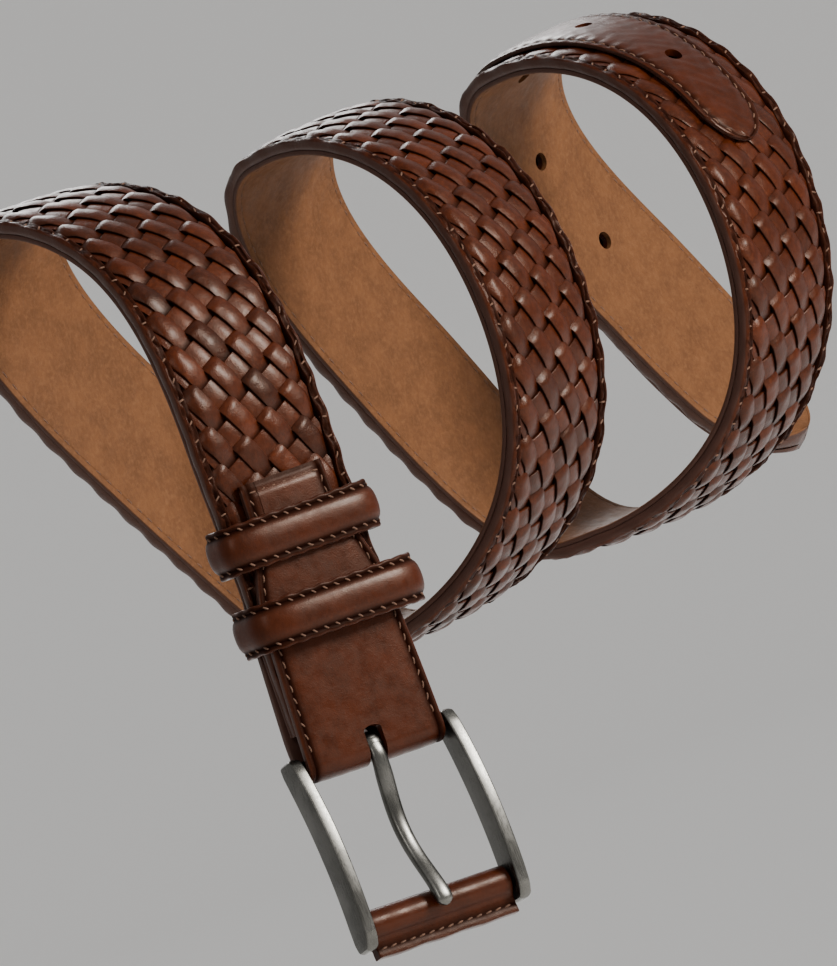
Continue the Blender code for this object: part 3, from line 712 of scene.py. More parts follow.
def strap_core(finish, random):
    """The band behind the strands, with its raised stitched borders and rounded painted edges."""
    along = strap_stations(0.83 * MM)
    half = strap_half(along)
    beat = weave_beat(along)
    stitch = np.exp(-((((along / STITCH_PITCH) % 1.0) - 0.5) / 0.16) ** 2)
    # Shade above 1.2 gives the painted edge; below 1 it paints shade, darkest in the stitch channel and
    # where the border runs under the strands
    # Columns: inset from the edge and height over the border in mm, shade, how much the stitches sink it
    side = (
        (0.35, -2.45, 1.9, 0.0), (0.02, -2.10, 1.9, 0.0), (-0.08, -1.30, 1.9, 0.0),
        (-0.02, -0.60, 1.8, 0.0), (0.22, -0.15, 0.9, 0.0), (0.55, 0.06, 0.50, 0.1),
        (0.95, 0.10, 0.32, 0.5), (1.35, 0.02, 0.14, 1.0), (1.75, 0.08, 0.24, 0.6),
        (2.10, 0.06, 0.40, 0.1), (2.40, -0.15, 0.24, 0.0), (2.60, -0.75, 0.08, 0.0),
        (2.80, -1.60, 0.05, 0.0),
    )
    crumple = random.normal(0.0, 1.0, (len(along), len(side)))
    crumple = (crumple + np.roll(crumple, 1, axis=0)) / math.sqrt(2.0)
    columns = []
    for number, (inset, height, shade, sunk) in enumerate(side):
        rough = crumple[:, number : number + 1] * (0.5 < inset < 2.3)
        sway = BORDER_SWAY * beat * (1.0 if height > -0.7 else 0.4)
        inset = np.minimum(inset * MM - sway + 0.5 * BORDER_CRUMPLE * rough, 0.92 * half)
        lift = (BORDER_WAVE * beat - STITCH_DEPTH * stitch * sunk) * (height > -0.3)
        up = EDGE_TOP + height * MM + lift + BORDER_CRUMPLE * rough
        columns.append((half - inset, up, shade * np.clip(1.0 + 0.45 * rough, 0.2, 2.2)))
    # The band behind the strands is painted nearly black, as painted shade seen in the gaps between them
    for share in (0.6, 0.3, 0.0):
        columns.append((half * share, weave_top(along, share) - WEAVE_FLOOR, 0.05))
    across, up, shade = whole_section(columns)
    piece = closed_loft("strap_borders", belt_points(along, across, up), shade, 50.0)
    return dress(piece, finish, "woven_leather", "strap", "woven_strap")


def strand_starts(before, beyond):
    """Where each strand crosses the first row, from this many repeats before the belt's start."""
    first = FIRST_PILLOW_AT % REPEAT - before * REPEAT
    return (first + REPEAT * np.arange(int((BELT_LENGTH + beyond) / REPEAT)))[:, None, None]


def weave_strands(name, finish, start, places, slant, leaning, width, section, rise, dip, shade, tone_and_painted_light):
    """One set of strands, each leaning across the belt by a row from one place to the next."""
    length = math.hypot(slant, ROW_STEP)
    middle_along = start + slant * places
    middle_across = FIRST_ROW_ACROSS + leaning * ROW_STEP * places
    reach = width * section[:, 0] / length
    along = middle_along + reach * ROW_STEP
    across = middle_across - leaning * reach * slant
    half = STRAP_WIDTH / 2
    near_border = smooth((np.abs(across) - (half - BORDER_WIDTH - 1.6 * MM)) / (2.2 * MM))
    rise = rise + section[:, 1] * STRAND_THICKNESS - dip * near_border
    scale = relief(along)
    top = weave_top(along, np.clip(across / half, -1.0, 1.0))
    up = top + scale * rise - (1.0 - scale) * 0.6 * MM
    points = belt_points(along, across * strap_half(along) / half, up)
    inside = np.abs(middle_across) < half - BORDER_WIDTH + 0.9 * MM
    inside = inside & (middle_along > WEAVE_FROM) & (middle_along < WEAVE_TO)
    piece = ribbons(name, points, shade, tone_and_painted_light, inside[..., 0])
    return dress(piece, finish, "woven_leather", "strap")


def pillow_strands(finish, random):
    """The strands that show as long domed pillows."""
    start = strand_starts(4, 60.0 * MM)
    places = np.arange(-2.82, 4.83, 0.098)[None, :, None]
    # Columns: share of the half-width, height in strand thicknesses below the crest, kind of face (top, lit
    # side wall, or shaded side wall and underside)
    section = np.array(
        (
            (-1.00, -0.66, 2), (-1.00, -0.16, 2), (-0.95, -0.02, 0), (-0.70, 0.0, 0), (-0.36, 0.0, 0),
            (0.00, 0.0, 0), (0.36, 0.0, 0), (0.70, 0.0, 0), (0.95, -0.02, 0), (1.00, -0.16, 1),
            (1.00, -0.66, 1), (0.00, -1.00, 2),
        )
    )
    share = section[:, 0]
    face = section[:, 2].astype(int)
    turn = (places + 1.0) % 2.0 - 1.0
    rising = smooth((turn - PILLOW_UP_FROM) / (PILLOW_FULL_FROM - PILLOW_UP_FROM))
    plump = rising * smooth((PILLOW_DIVE_TO - turn) / (PILLOW_DIVE_TO - PILLOW_DIVE_FROM))
    width = PILLOW_HALF_WIDTH * (0.90 + 0.10 * plump)
    start = start + 0.12 * MM * random.normal(0.0, 1.0, start.shape)
    wobble = random.normal(0.0, 1.0, (len(start), places.size, 1)).cumsum(axis=1)
    rise = PILLOW_LOW + (PILLOW_HIGH - PILLOW_LOW) * plump + 0.0072 * MM * wobble
    rise = rise - PILLOW_DOME * (0.45 + 0.55 * plump) * share**2 - PILLOW_TILT * share * plump
    # Painted shade: darker on the shaded side wall and underside, towards the strand's edges and where it
    # dives under the steps
    shade = np.array((1.0, 0.85, 0.10))[face] * (1.0 - 0.24 * np.abs(share) ** 2.5)
    shade = shade * (0.15 + 0.85 * smooth((plump - 0.04) / 0.45))
    # Random colour change per strand, times painted light that makes the lit side wall lighter
    tone_and_painted_light = 1.0 + STRAND_TONES * random.normal(0.0, 1.0, start.shape)
    tone_and_painted_light = tone_and_painted_light * np.array((1.0, 1.7, 1.0))[face]
    return weave_strands(
        "pillow_strands", finish, start, places, PILLOW_SLANT, -1.0, width, section, rise,
        PILLOW_DIP_AT_BORDER, shade, tone_and_painted_light,
    )


def step_strands(finish, random):
    """The flatter strands that show as steps between the pillows."""
    start = strand_starts(2, 40.0 * MM)
    places = np.arange(-4.9, 2.95, 0.12)[None, :, None]
    section = np.array(
        (
            (-1.00, -0.90, 2), (-1.00, -0.14, 1), (-0.95, -0.02, 0), (-0.50, 0.0, 0), (0.00, 0.0, 0),
            (0.50, 0.0, 0), (0.95, -0.02, 0), (1.00, -0.14, 1), (1.00, -0.90, 2), (0.00, -0.95, 2),
        )
    )
    share = section[:, 0]
    face = section[:, 2].astype(int)
    phase = (places - 1.0) / 2.0
    turn = 2.0 * np.pi * (phase - np.round(phase))
    high = (np.cos(turn) + 1.0) / 2.0
    rise = STEP_LOW + (STEP_HIGH - STEP_LOW) * high + 0.10 * MM * np.sin(turn) - STEP_DOME * share**2
    # Painted shadow: each step darkens where it runs under the pillows, on its lower side walls and
    # underside, and towards its edges
    gap = smooth((turn / np.pi - 0.30) / 0.16) + smooth((-turn / np.pi - 0.52) / 0.2)
    shade = np.array((1.0, 0.9, 0.1))[face] * (1.0 - 0.18 * np.abs(share) ** 2.5)
    shade = shade * (1.0 - 0.88 * np.clip(gap, 0.0, 1.0))
    # Random colour change per strand, times painted light that makes the upper side walls lighter
    tone_and_painted_light = 1.0 + STRAND_TONES * random.normal(0.0, 1.0, start.shape)
    tone_and_painted_light = tone_and_painted_light * np.array((1.0, 1.3, 1.0))[face]
    return weave_strands(
        "step_strands", finish, start, places, STEP_SLANT, 1.0, STEP_HALF_WIDTH, section, rise,
        STEP_DIP_AT_BORDER, shade, tone_and_painted_light,
    )


def lining_skin(finish):
    """The smooth lining, with painted sides and a stitch line pressed into its inner face."""
    along = strap_stations(1.6 * MM)
    half = strap_half(along) - 0.12 * MM
    top = LINING_THICKNESS
    # Shade above 1.2 gives the painted sides; the pressed stitch line is darkened as painted shade
    # Columns: inset from the edge in mm, height, shade
    side = (
        (2.60, 0.0, 1.0),
        (1.95, 0.0, 0.9),
        (1.65, 0.10 * MM, 0.55),
        (1.35, 0.0, 0.9),
        (0.60, 0.0, 1.0),
        (0.18, 0.12 * MM, 1.3),
        (0.00, 0.45 * MM, 1.9),
        (0.00, top - 0.25 * MM, 1.9),
        (0.15, top, 1.9),
    )
    columns = [(half * share, 0.0, 1.0) for share in (0.12, 0.30, 0.50)]
    columns += [(half - np.minimum(inset * MM, 0.9 * half), height, shade) for inset, height, shade in side]
    columns += [(half * share, top, 1.0) for share in (0.75, 0.50, 0.30, 0.12)]
    across, up, shade = whole_section(columns, 0)
    piece = closed_loft("lining_skin", belt_points(along, across, up), shade, 60.0)
    return dress(piece, finish, "lining_leather", "strap", "lining")


def threads(
    name, finish, place, centres, angles, length=SEAM_STITCH, radius=THREAD_RADIUS, body="strap"
):
    """Short sunk stitches. Centres are along, across and up; place turns such points into space."""
    middle_along, middle_across, middle_up = np.array(centres, dtype=float).T[:, :, None, None]
    angles = np.broadcast_to(angles, len(centres))[:, None, None]
    run = np.linspace(-1.0, 1.0, 7)[None, :, None]
    turn = full_turn(6)
    thick = np.sqrt(np.maximum(1.0 - np.abs(run) ** 4, 0.02)) * radius
    out = thick * np.cos(turn)
    lift = thick * np.sin(turn) - radius * 1.5 * run**2 + 0.35 * radius
    reach = run * length / 2
    along = middle_along + reach * np.cos(angles) - out * np.sin(angles)
    across = middle_across + reach * np.sin(angles) + out * np.cos(angles)
    piece = ribbons(name, place(along, across, middle_up + lift), sharp=80.0)
    return dress(piece, finish, "smooth_leather", body)


def border_threads(finish, random):
    places = np.arange(WEAVE_FROM, BELT_LENGTH - 4.0 * MM, STITCH_PITCH)
    places = (np.floor(places / STITCH_PITCH) + 0.5) * STITCH_PITCH
    centres = []
    angles = []
    for side in (-1.0, 1.0):
        for place in places:
            half = strap_half(place)
            across = side * (half - BORDER_STITCH_IN) * (1.0 if half > 6.0 * MM else 0.6)
            up = EDGE_TOP + 0.18 * MM * weave_beat(place) - 0.16 * MM
            centres.append((place + random.normal(0.0, 0.25 * MM), across, up))
            angles.append(BORDER_STITCH_LEAN + random.normal(0.0, BORDER_STITCH_SPREAD))
    return threads("border_threads", finish, belt_points, centres, angles, 2.1 * MM)


def lining_threads(finish):
    places = np.arange(STRAP_START + 4.0 * MM, BELT_LENGTH - 6.0 * MM, 3.3 * MM)
    halves = strap_half(places) - 1.77 * MM
    centres = [(place, side * half, 0.0) for side in (-1.0, 1.0) for place, half in zip(places, halves)]

    def inner(along, across, up):
        return belt_points(along, across, 0.12 * MM - up)

    return threads("lining_threads", finish, inner, centres, 0.0, 2.3 * MM, FINE_THREAD_RADIUS)


# The buckle tab and its keepers


def tab_half(along):
    """Half the tab's width this far from the fold."""
    widen = curve_values(TAB_OUTLINE, 1.0 - along / FRONT_TAB_LENGTH)
    return (TAB_END_WIDTH + (TAB_WIDTH - TAB_END_WIDTH) * np.clip(widen, 0.0, 1.0)) / 2


def tab_rows():
    """The tab's own line: place and height of its inner face, outward direction, half-width, front share."""
    rows = []
    for along in np.arange(FRONT_TAB_LENGTH, 0.0, -0.7 * MM):
        rows.append((along, TAB_INNER_HEIGHT, 0.0, 1.0, tab_half(along), 1.0))
    for share in np.linspace(0.0, 1.0, 25):
        sine, cosine = math.sin(math.pi * share), math.cos(math.pi * share)
        height = BAR_HEIGHT + FOLD_RADIUS * cosine
        rows.append((-FOLD_RADIUS * sine, height, -sine, cosine, tab_half(0.0), 1.0 - share))
    narrowest = FRONT_TAB_LENGTH * (1.0 - RETURN_NARROWEST_AT)
    for along in np.arange(1.2 * MM, RETURN_TAB_LENGTH, 1.2 * MM):
        height = BAR_HEIGHT - FOLD_RADIUS - RETURN_TAB_SAG * smooth(along / STRAP_START)
        rows.append((along, height, 0.0, -1.0, tab_half(min(along, narrowest)), 0.0))
    return np.array(rows, dtype=float)


def buckle_tab(finish):
    """The folded strip: smooth, softly domed, with burnished edges and a pressed stitch line."""
    place, height, ahead, outward, half, front = tab_rows().T[:, :, None]
    # Shade above 1.2 gives the painted edges; below 1 it paints shade into the pressed stitch line
    # Columns: inset from the edge in mm, share of the thickness, shade
    side = (
        (0.35, 0.00, 1.8), (0.05, 0.12, 1.9), (-0.05, 0.50, 1.9), (0.02, 0.85, 1.8),
        (0.25, 0.98, 0.8), (0.70, 1.06, 0.32), (1.15, 1.04, 0.20), (1.60, 0.82, 0.08),
        (2.05, 1.02, 0.24), (2.70, 1.08, 0.62), (3.90, 1.11, 1.0),
    )
    columns = [(half - inset * MM, share, shade) for inset, share, shade in side]
    for inner in (0.66, 0.5, 0.33, 0.16, 0.0):
        columns.append((half * inner, 1.11 + 0.12 * (1.0 - inner**2), 1.0))
    across, share, shade = whole_section(columns)
    thick = TAB_THICKNESS * (share * front + np.minimum(share, 1.0) * (1.0 - front))
    from_end = FRONT_TAB_LENGTH - place
    on_front = front > 0.99
    near_end = np.where(on_front, smooth(from_end / TAB_END_ROUND), 1.0)
    groove = np.exp(-((from_end - TAB_GROOVE_IN) / TAB_GROOVE_WIDTH) ** 2) * on_front
    within = (np.abs(across) < half - 1.2 * MM) & (share > 1.0)
    thick = thick * (0.72 + 0.28 * near_end) - TAB_GROOVE_DEPTH * groove * within
    burnt = smooth(1.0 - from_end / TAB_BURNT_RUN) * on_front
    shade = np.where(share > 1.0, shade * (1.0 - 0.75 * burnt), shade)
    shade[:2] = 0.3
    points = belt_points(place + ahead * thick, across, height + outward * thick)
    piece = closed_loft("tab_strip", points, shade, 50.0)
    cutter = slot_cutter()
    cut(piece, cutter)
    bpy.data.objects.remove(cutter)
    return dress(piece, finish, "smooth_leather", "strap", "buckle_tab")


def slot_cutter():
    """A block with a rounded top, through both layers and the fold."""
    reach = FOLD_RADIUS + TAB_THICKNESS + RETURN_TAB_SAG + 2.0 * MM
    half = SLOT_WIDTH / 2
    turn = np.linspace(0.0, math.pi, 17)
    outline = [(half * math.cos(t), SLOT_RISE - SLOT_ROUND + SLOT_ROUND * math.sin(t)) for t in turn]
    outline += [(-half, -reach), (half, -reach)]
    rings = np.array([[(x, y, z) for x, z in outline] for y in (-reach, reach)])
    return closed_loft("slot_cutter", placed(belt_matrix(0.0, BAR_HEIGHT), rings))


def tab_threads(finish, random):
    centres = []
    angles = []
    for side in (-1.0, 1.0):
        for place in np.arange(3.5 * MM, FRONT_TAB_LENGTH - 2.5 * MM, SEAM_PITCH):
            half = tab_half(place)
            drift = side * (tab_half(place + SEAM_STEP) - half)
            centres.append((place, side * (half - TAB_SEAM_IN), TAB_INNER_HEIGHT + TAB_THICKNESS * 0.92))
            angles.append(math.atan2(drift, SEAM_STEP) + random.normal(0.0, 0.16) + 0.25 * side)
    end_half = TAB_END_WIDTH / 2 - 2.6 * MM
    for across in np.linspace(-end_half, end_half, 7):
        centres.append((FRONT_TAB_LENGTH - TAB_GROOVE_IN, across, TAB_INNER_HEIGHT + TAB_THICKNESS * 0.94))
        angles.append(math.pi / 2 + random.normal(0.0, 0.12))
    return threads("tab_threads", finish, belt_points, centres, angles)


def keeper_place(along, slack, shift):
    """A function from width, turn and wall height to the points of a keeper."""
    back = BAR_HEIGHT - FOLD_RADIUS - RETURN_TAB_SAG - TAB_THICKNESS
    front = TAB_INNER_HEIGHT + TAB_THICKNESS
    middle = (front + back) / 2 + (slack - UPPER_KEEPER_SLACK) / 3
    half_across = STRAP_WIDTH_AT_TAB / 2 + slack
    half_up = (front - back) / 2 + slack

    def place(width, turn, wall):
        across = (half_across + wall) * powered(np.cos(turn), 2.0 / KEEPER_ROUNDNESS)
        up = (half_up + wall) * powered(np.sin(turn), 2.0 / KEEPER_ROUNDNESS)
        return belt_points(along + width, shift + across, middle + up)

    return place


def keeper(name, node, along, slack, shift, finish, thread):
    """A padded loop with pressed, stitched and scalloped edges."""
    place = keeper_place(along, slack, shift)
    turn_values = np.linspace(0.0, 2.0 * np.pi, 2400)
    steps = np.linalg.norm(np.diff(place(0.0, turn_values, 0.0), axis=0), axis=1)
    distances = np.concatenate([[0.0], np.cumsum(steps)])
    length = distances[-1]
    shares = np.arange(220)[:, None] / 220
    turns = np.interp(shares * length, distances, turn_values)
    beat = np.cos(round(length / SCALLOP_PITCH) * 2.0 * np.pi * shares)
    # Shade above 1.2 gives the painted edges; below 1 it paints shade into the pressed, stitched channel
    # One half of the section, from the inner face's middle round the side to the outer one's.
    # Columns: share of the half width, share of the wall, share of the padding, shade, scallop
    half = (
        (0.00, 0.00, 0.00, 1.00, 0), (0.97, 0.00, 0.00, 1.00, 1), (1.00, 0.12, 0.00, 1.80, 1),
        (1.00, 0.80, 0.00, 1.70, 1), (0.97, 0.96, 0.00, 0.80, 1), (0.90, 1.02, 0.00, 0.28, 1),
        (0.83, 1.00, 0.00, 0.16, 0), (0.76, 0.82, 0.00, 0.07, 0), (0.68, 1.00, 0.12, 0.20, 0),
        (0.58, 1.00, 0.50, 0.70, 0), (0.42, 1.00, 0.80, 1.00, 0), (0.20, 1.00, 0.96, 1.00, 0),
        (0.00, 1.00, 1.00, 1.00, 0),
    )
    other = tuple((-row[0], *row[1:]) for row in half[-2:0:-1])
    side, walls, padding, shade, scallop = np.array(half + other).T
    width = side * KEEPER_WIDTH / 2 + np.sign(side) * SCALLOP_OUT * beat * scallop
    wall = KEEPER_THICKNESS * walls + (KEEPER_PADDING + 0.15 * MM) * padding + SCALLOP_UP * beat * scallop
    piece = closed_loft(name, place(width, turns, wall), shade, 50.0, loop=True)
    dress(piece, finish, "smooth_leather", "strap", node)
    line = KEEPER_SEAM_SHARE * KEEPER_WIDTH / 2
    count = round(length / SEAM_PITCH)
    stitches = np.arange(count) * length / count
    centres = [(side * line, spot, KEEPER_THICKNESS * 0.92) for side in (-1, 1) for spot in stitches]

    def sewn(width, around, up):
        return place(width, np.interp(around % length, distances, turn_values), up)

    threads(name + "_threads", thread, sewn, centres, KEEPER_STITCH_LEAN)


# The buckle


def metal_part(name, finish, place, points, body, *nodes, sharp=40.0, loop=False):
    piece = closed_loft(name, placed(place, points), sharp=sharp, loop=loop)
    return dress(piece, finish, "brushed_metal", body, *nodes)


def side_plates(finish, place):
    """The two bowed plates, with softened corners."""
    ends = np.array((0.0, 0.004, 0.012))
    shares = np.concatenate([ends, np.linspace(0.02, 0.98, 60), 1.0 - ends[::-1]])[:, None]
    depth = PLATE_DEPTH * table_values(PLATE_OUTLINE, shares) / 2
    bow = -PLATE_BOW * (1.0 - (2.0 * shares - 1.0) ** 2)
    half = PLATE_THICKNESS / 2
    corner = 0.40 * MM
    outline = []
    for number, (right, ahead) in enumerate(((1, 1), (-1, 1), (-1, -1), (1, -1))):
        for angle in (number + np.linspace(0.0, 1.0, 5)) * math.pi / 2:
            outline.append((right, ahead, math.cos(angle), math.sin(angle)))
    right, ahead, cosine, sine = np.array(outline).T
    end_pull = np.minimum(1.0, np.sqrt(np.minimum(shares, 1.0 - shares) / 0.012) * 0.6 + 0.4)
    y = bow + (depth - corner) * ahead + corner * sine
    for side, name in ((-1.0, "plate_left"), (1.0, "plate_right")):
        x = side * PLATE_CENTRE + ((half - corner) * right + corner * cosine) * end_pull
        points = stacked(x, y, FRAME_HEAD - FRAME_LENGTH * shares)
        metal_part(name, finish, place, points, "buckle", sharp=35.0)


def buckle_bars(finish, place):
    for name, line, radius, nodes in (
        ("pivot_bar", (0.0, 0.0), BAR_RADIUS, ("buckle_frame",)),
        ("far_bar", (FAR_BAR_SET_BACK, -FAR_BAR_DROP), FAR_BAR_RADIUS, ()),
    ):
        rings = tube_rings((-PLATE_CENTRE, *line), (PLATE_CENTRE, *line), radius, 40)
        metal_part(name, finish, place, rings, "buckle", *nodes)


def bar_wrap(finish, thread, place):
    """Leather rolled round the far bar, sewn into a flat flap below it."""
    reach = PLATE_CENTRE - PLATE_THICKNESS / 2 - WRAP_END_GAP
    half_flap = FLAP_THICKNESS / 2
    start = math.asin(half_flap / WRAP_RADIUS) + 0.12
    # The flap is darkened at its pinched seam line as painted shade
    # Rows: share of the flap's length, share of its half-thickness, shade
    flap = (
        (1.00, 0.75, 0.9), (0.97, 0.97, 0.8), (0.85, 1.00, 0.7), (0.62, 0.98, 0.35),
        (0.50, 0.84, 0.10), (0.38, 0.98, 0.30), (0.12, 1.00, 0.7),
    )
    front = [(half_flap * out, -WRAP_RADIUS - FLAP_LENGTH * share, shade) for share, out, shade in flap]
    turns = np.linspace(start, 2.0 * math.pi - start, 57)
    roll = [(WRAP_RADIUS * math.sin(turn), -WRAP_RADIUS * math.cos(turn), 1.0) for turn in turns]
    back = [(-out, down, shade) for out, down, shade in front[::-1]]
    out, down, shade = np.array(front + roll + back).T
    ends = np.array((reach, reach - 0.08 * MM))
    middle = np.linspace(-reach + 0.35 * MM, reach - 0.35 * MM, 50)
    x = np.concatenate([-ends, middle, ends[::-1]])[:, None]
    pull = np.interp(np.abs(x), (middle[-1], reach - 0.08 * MM, reach), (1.0, 0.985, 0.94))
    wave = 1.0 + 0.012 * np.sin(x * 420.0) + 0.008 * np.sin(x * 1130.0 + 1.0)
    flap_wave = 1.0 + 0.012 * np.sin(x * 610.0 + 2.0) * (down < -WRAP_RADIUS)
    points = stacked(x, FAR_BAR_SET_BACK + out * pull * wave, down * flap_wave - FAR_BAR_DROP)
    shade = np.broadcast_to(shade, points.shape[:2]).copy()
    shade[[0, -1]] = 0.5
    piece = closed_loft("wrap_roll", placed(place, points), shade, 50.0)
    dress(piece, finish, "smooth_leather", "buckle", "bar_wrap")
    line = -WRAP_RADIUS - FLAP_LENGTH * 0.5 - FAR_BAR_DROP
    places = np.arange(-reach + 1.8 * MM, reach - 1.0 * MM, 0.9 * SEAM_PITCH)
    centres = [(spot, line, half_flap * 0.92) for spot in places]
    for side, label in ((-1.0, "wrap_threads_front"), (1.0, "wrap_threads_back")):

        def sewn(along, across, up, side=side):
            return placed(place, stacked(along, FAR_BAR_SET_BACK + side * up, across))

        threads(label, thread, sewn, centres, WRAP_STITCH_LEAN, 1.8 * MM, body="buckle")


def prong(finish, place):
    """The brushed tongue, with its eye round the pivot bar."""
    resting = WRAP_RADIUS - FAR_BAR_SET_BACK + PIECE_GAP + PRONG_THICKNESS / 2
    reach = FAR_BAR_DROP + PRONG_OVERHANG
    top = PRONG_LINE[0][0]
    shares = np.linspace(top - PRONG_TOP_SHARE, 1.0, 70)[:, None]
    height = curve_values(PRONG_LINE, np.maximum(shares, top), 1)
    fullness = PRONG_SLOT_FULLNESS + (PRONG_FULLNESS - PRONG_SLOT_FULLNESS) * smooth((shares - 0.08) / 0.12)
    width = fullness * PRONG_WIDTH / 2 * table_values(PRONG_LINE, shares, 2)
    depth = PRONG_THICKNESS / 2 * table_values(PRONG_LINE, shares, 3)
    end = np.sqrt(np.clip((1.0 - shares) / 0.035, 0.0, 1.0))
    start = np.sqrt(np.clip((shares - shares[0]) / PRONG_TOP_SHARE, 0.0, 1.0))
    close = (0.25 + 0.75 * end) * (0.3 + 0.7 * start)
    turn = full_turn(28)
    x = powered(np.cos(turn), 0.8) * width * close
    y = powered(np.sin(turn), 0.8) * depth * close - resting * height
    metal_part("prong_stem", finish, place, stacked(x, y, -reach * shares), "prong", "prong", sharp=60.0)
    inner = BAR_RADIUS + PIECE_GAP
    outer = inner + PRONG_EYE_WALL
    half = PRONG_WIDTH / 2
    corner = 0.3 * MM
    # Columns: side, radius
    ring = (
        (-half, inner),
        (half, inner),
        (half, outer - corner),
        (half - corner, outer),
        (corner - half, outer),
        (-half, outer - corner),
    )
    side, radius = np.array(ring).T
    turn = full_turn(48)[:, None]
    points = stacked(side, np.cos(turn) * radius, np.sin(turn) * radius)
    metal_part("prong_eye", finish, place, points, "prong", sharp=50.0, loop=True)


# The free end


def end_tab_half(along):
    """Half the end tab's width: its round tongue, its widening and the strap's tip."""
    from_tongue = along - END_TAB_START
    widen = np.clip(curve_values(END_TAB_OUTLINE, from_tongue / END_TAB_LENGTH), 0.0, 1.0)
    full = STRAP_WIDTH - 2.0 * END_TAB_INSET
    half = (END_TAB_TONGUE_WIDTH + (full - END_TAB_TONGUE_WIDTH) * widen) / 2
    half = half * (1.0 - TONGUE_SLIMMER * (1.0 - smooth(from_tongue / TONGUE_RUN)))
    half = np.minimum(half, full / 2 * tip_shares(along))
    short = np.clip(1.0 - from_tongue / (END_TAB_TONGUE_WIDTH / 2), 0.0, 1.0)
    return half * np.sqrt(np.clip(1.0 - short**2, 0.01, 1.0))


def end_tab(finish, thread, random):
    """The smooth tongue over the weave, a little puckered along its seam, with punched holes."""
    radius = END_TAB_TONGUE_WIDTH / 2
    round_start = radius * (1.0 - np.cos(np.linspace(0.0, math.pi / 2, 16)[:-1]))
    round_tip = (TIP_LENGTH - 0.4 * MM) * np.sin(np.linspace(0.0, math.pi / 2, 20))
    straight = np.arange(END_TAB_START + radius, TIP_START, 0.9 * MM)
    along = np.concatenate([END_TAB_START + round_start, straight, TIP_START + round_tip])[:, None]
    half = end_tab_half(along)
    pucker = np.sin(2.0 * np.pi * along / PUCKER_PITCH + 0.6 * np.sin(along * 300.0))
    # Shade above 1.2 gives the painted edges; below 1 it paints shade into the seam's groove
    # Columns: inset from the edge in mm, height share, shade, how much it puckers
    side = (
        (0.20, 0.05, 1.8, 0.0), (0.00, 0.45, 1.8, 0.0), (0.10, 0.85, 1.2, 0.0),
        (0.50, 1.06, 0.6, 0.4), (1.10, 1.00, 0.40, 0.8), (1.55, 0.78, 0.22, 0.6),
        (2.00, 1.00, 0.45, 1.0), (2.80, 1.16, 0.85, 1.0), (3.80, 1.22, 1.0, 0.6),
    )
    columns = []
    for inset, share, shade, wave in side:
        share_here = share + PUCKER_SHARE * wave * pucker
        columns.append((half - np.minimum(inset * MM, 0.85 * half), share_here, shade))
    flat = half - np.minimum(3.8 * MM, 0.85 * half)
    for inner in (0.86, 0.72, 0.58, 0.43, 0.29, 0.14, 0.0):
        columns.append((flat * inner, 1.24, 1.0))
    across, share, shade = whole_section(columns)
    base = weave_top(along, np.clip(across / strap_half(along), -1.0, 1.0)) + 0.1 * MM
    near = 1.0 - smooth((along - END_TAB_START) / TONGUE_RUN)
    waves = np.sin(along * 1300.0 + 1.6 * np.sin(across * 700.0)) * np.sin(across * 900.0 + along * 420.0)
    dents = (TAB_DENT + (TONGUE_DENT - TAB_DENT) * near) * waves * (share > 1.1)
    points = belt_points(along, across, base + END_TAB_THICKNESS * share + dents)
    piece = closed_loft("end_tongue", points, shade, 50.0)
    centres = []
    angles = []
    for side in (-1.0, 1.0):
        for spot in np.arange(END_TAB_START + 2.6 * MM, BELT_LENGTH - 3.0 * MM, SEAM_PITCH):
            edge = end_tab_half(spot) - END_SEAM_IN
            ahead = end_tab_half(spot + SEAM_STEP) - END_SEAM_IN
            if edge < 1.5 * MM:
                continue
            height = weave_top(spot, edge / strap_half(spot)) + END_TAB_THICKNESS * 0.95
            centres.append((spot, side * edge, height))
            angles.append(side * (math.atan2(ahead - edge, SEAM_STEP) + 0.2) + random.normal(0.0, 0.12))
    threads("end_threads", thread, belt_points, centres, angles, radius=FINE_THREAD_RADIUS)
    return dress(piece, finish, "smooth_leather", "strap", "end_tab")


def punch_holes(pieces):
    """Cuts the five holes through the end tab, the band behind it and the lining."""
    reach = 9.0 * MM
    for number in range(HOLE_COUNT):
        place = belt_matrix(FIRST_HOLE_AT + number * HOLE_PITCH, reach / 2)
        rings = tube_rings((0.0, reach, 0.0), (0.0, -reach, 0.0), HOLE_RADIUS, 28)
        cutter = closed_loft("hole_cutter", placed(place, rings))
        for piece in pieces:
            cut(piece, cutter)
        bpy.data.objects.remove(cutter)


def clear_strands(piece):
    """Takes the strands' faces away where a hole passes, under the end tab."""
    places = FIRST_HOLE_AT + HOLE_PITCH * np.arange(HOLE_COUNT)
    centres = [Vector(centre) for centre in belt_points(places, 0.0, 3.0 * MM)]
    clear = HOLE_RADIUS + 1.5 * MM
    shape = bmesh.new()
    shape.from_mesh(piece.data)
    near = []
    for face in shape.faces:
        middle = face.calc_center_median()
        if any((middle - centre).length < clear for centre in centres):
            near.append(face)
    bmesh.ops.delete(shape, geom=near, context="FACES")
    shape.to_mesh(piece.data)
    shape.free()


# The room, the lights and the camera


def view_axes():
    ahead = Vector((math.cos(CAMERA_TURN), math.sin(CAMERA_TURN), 0.0))
    level_right = Vector((ahead.y, -ahead.x, 0.0))
    right = level_right * math.cos(CAMERA_ROLL) - Vector((0.0, 0.0, 1.0)) * math.sin(CAMERA_ROLL)
    up = Vector((0.0, 0.0, 1.0)) * math.cos(CAMERA_ROLL) + level_right * math.sin(CAMERA_ROLL)
    return ahead, right, up, level_right


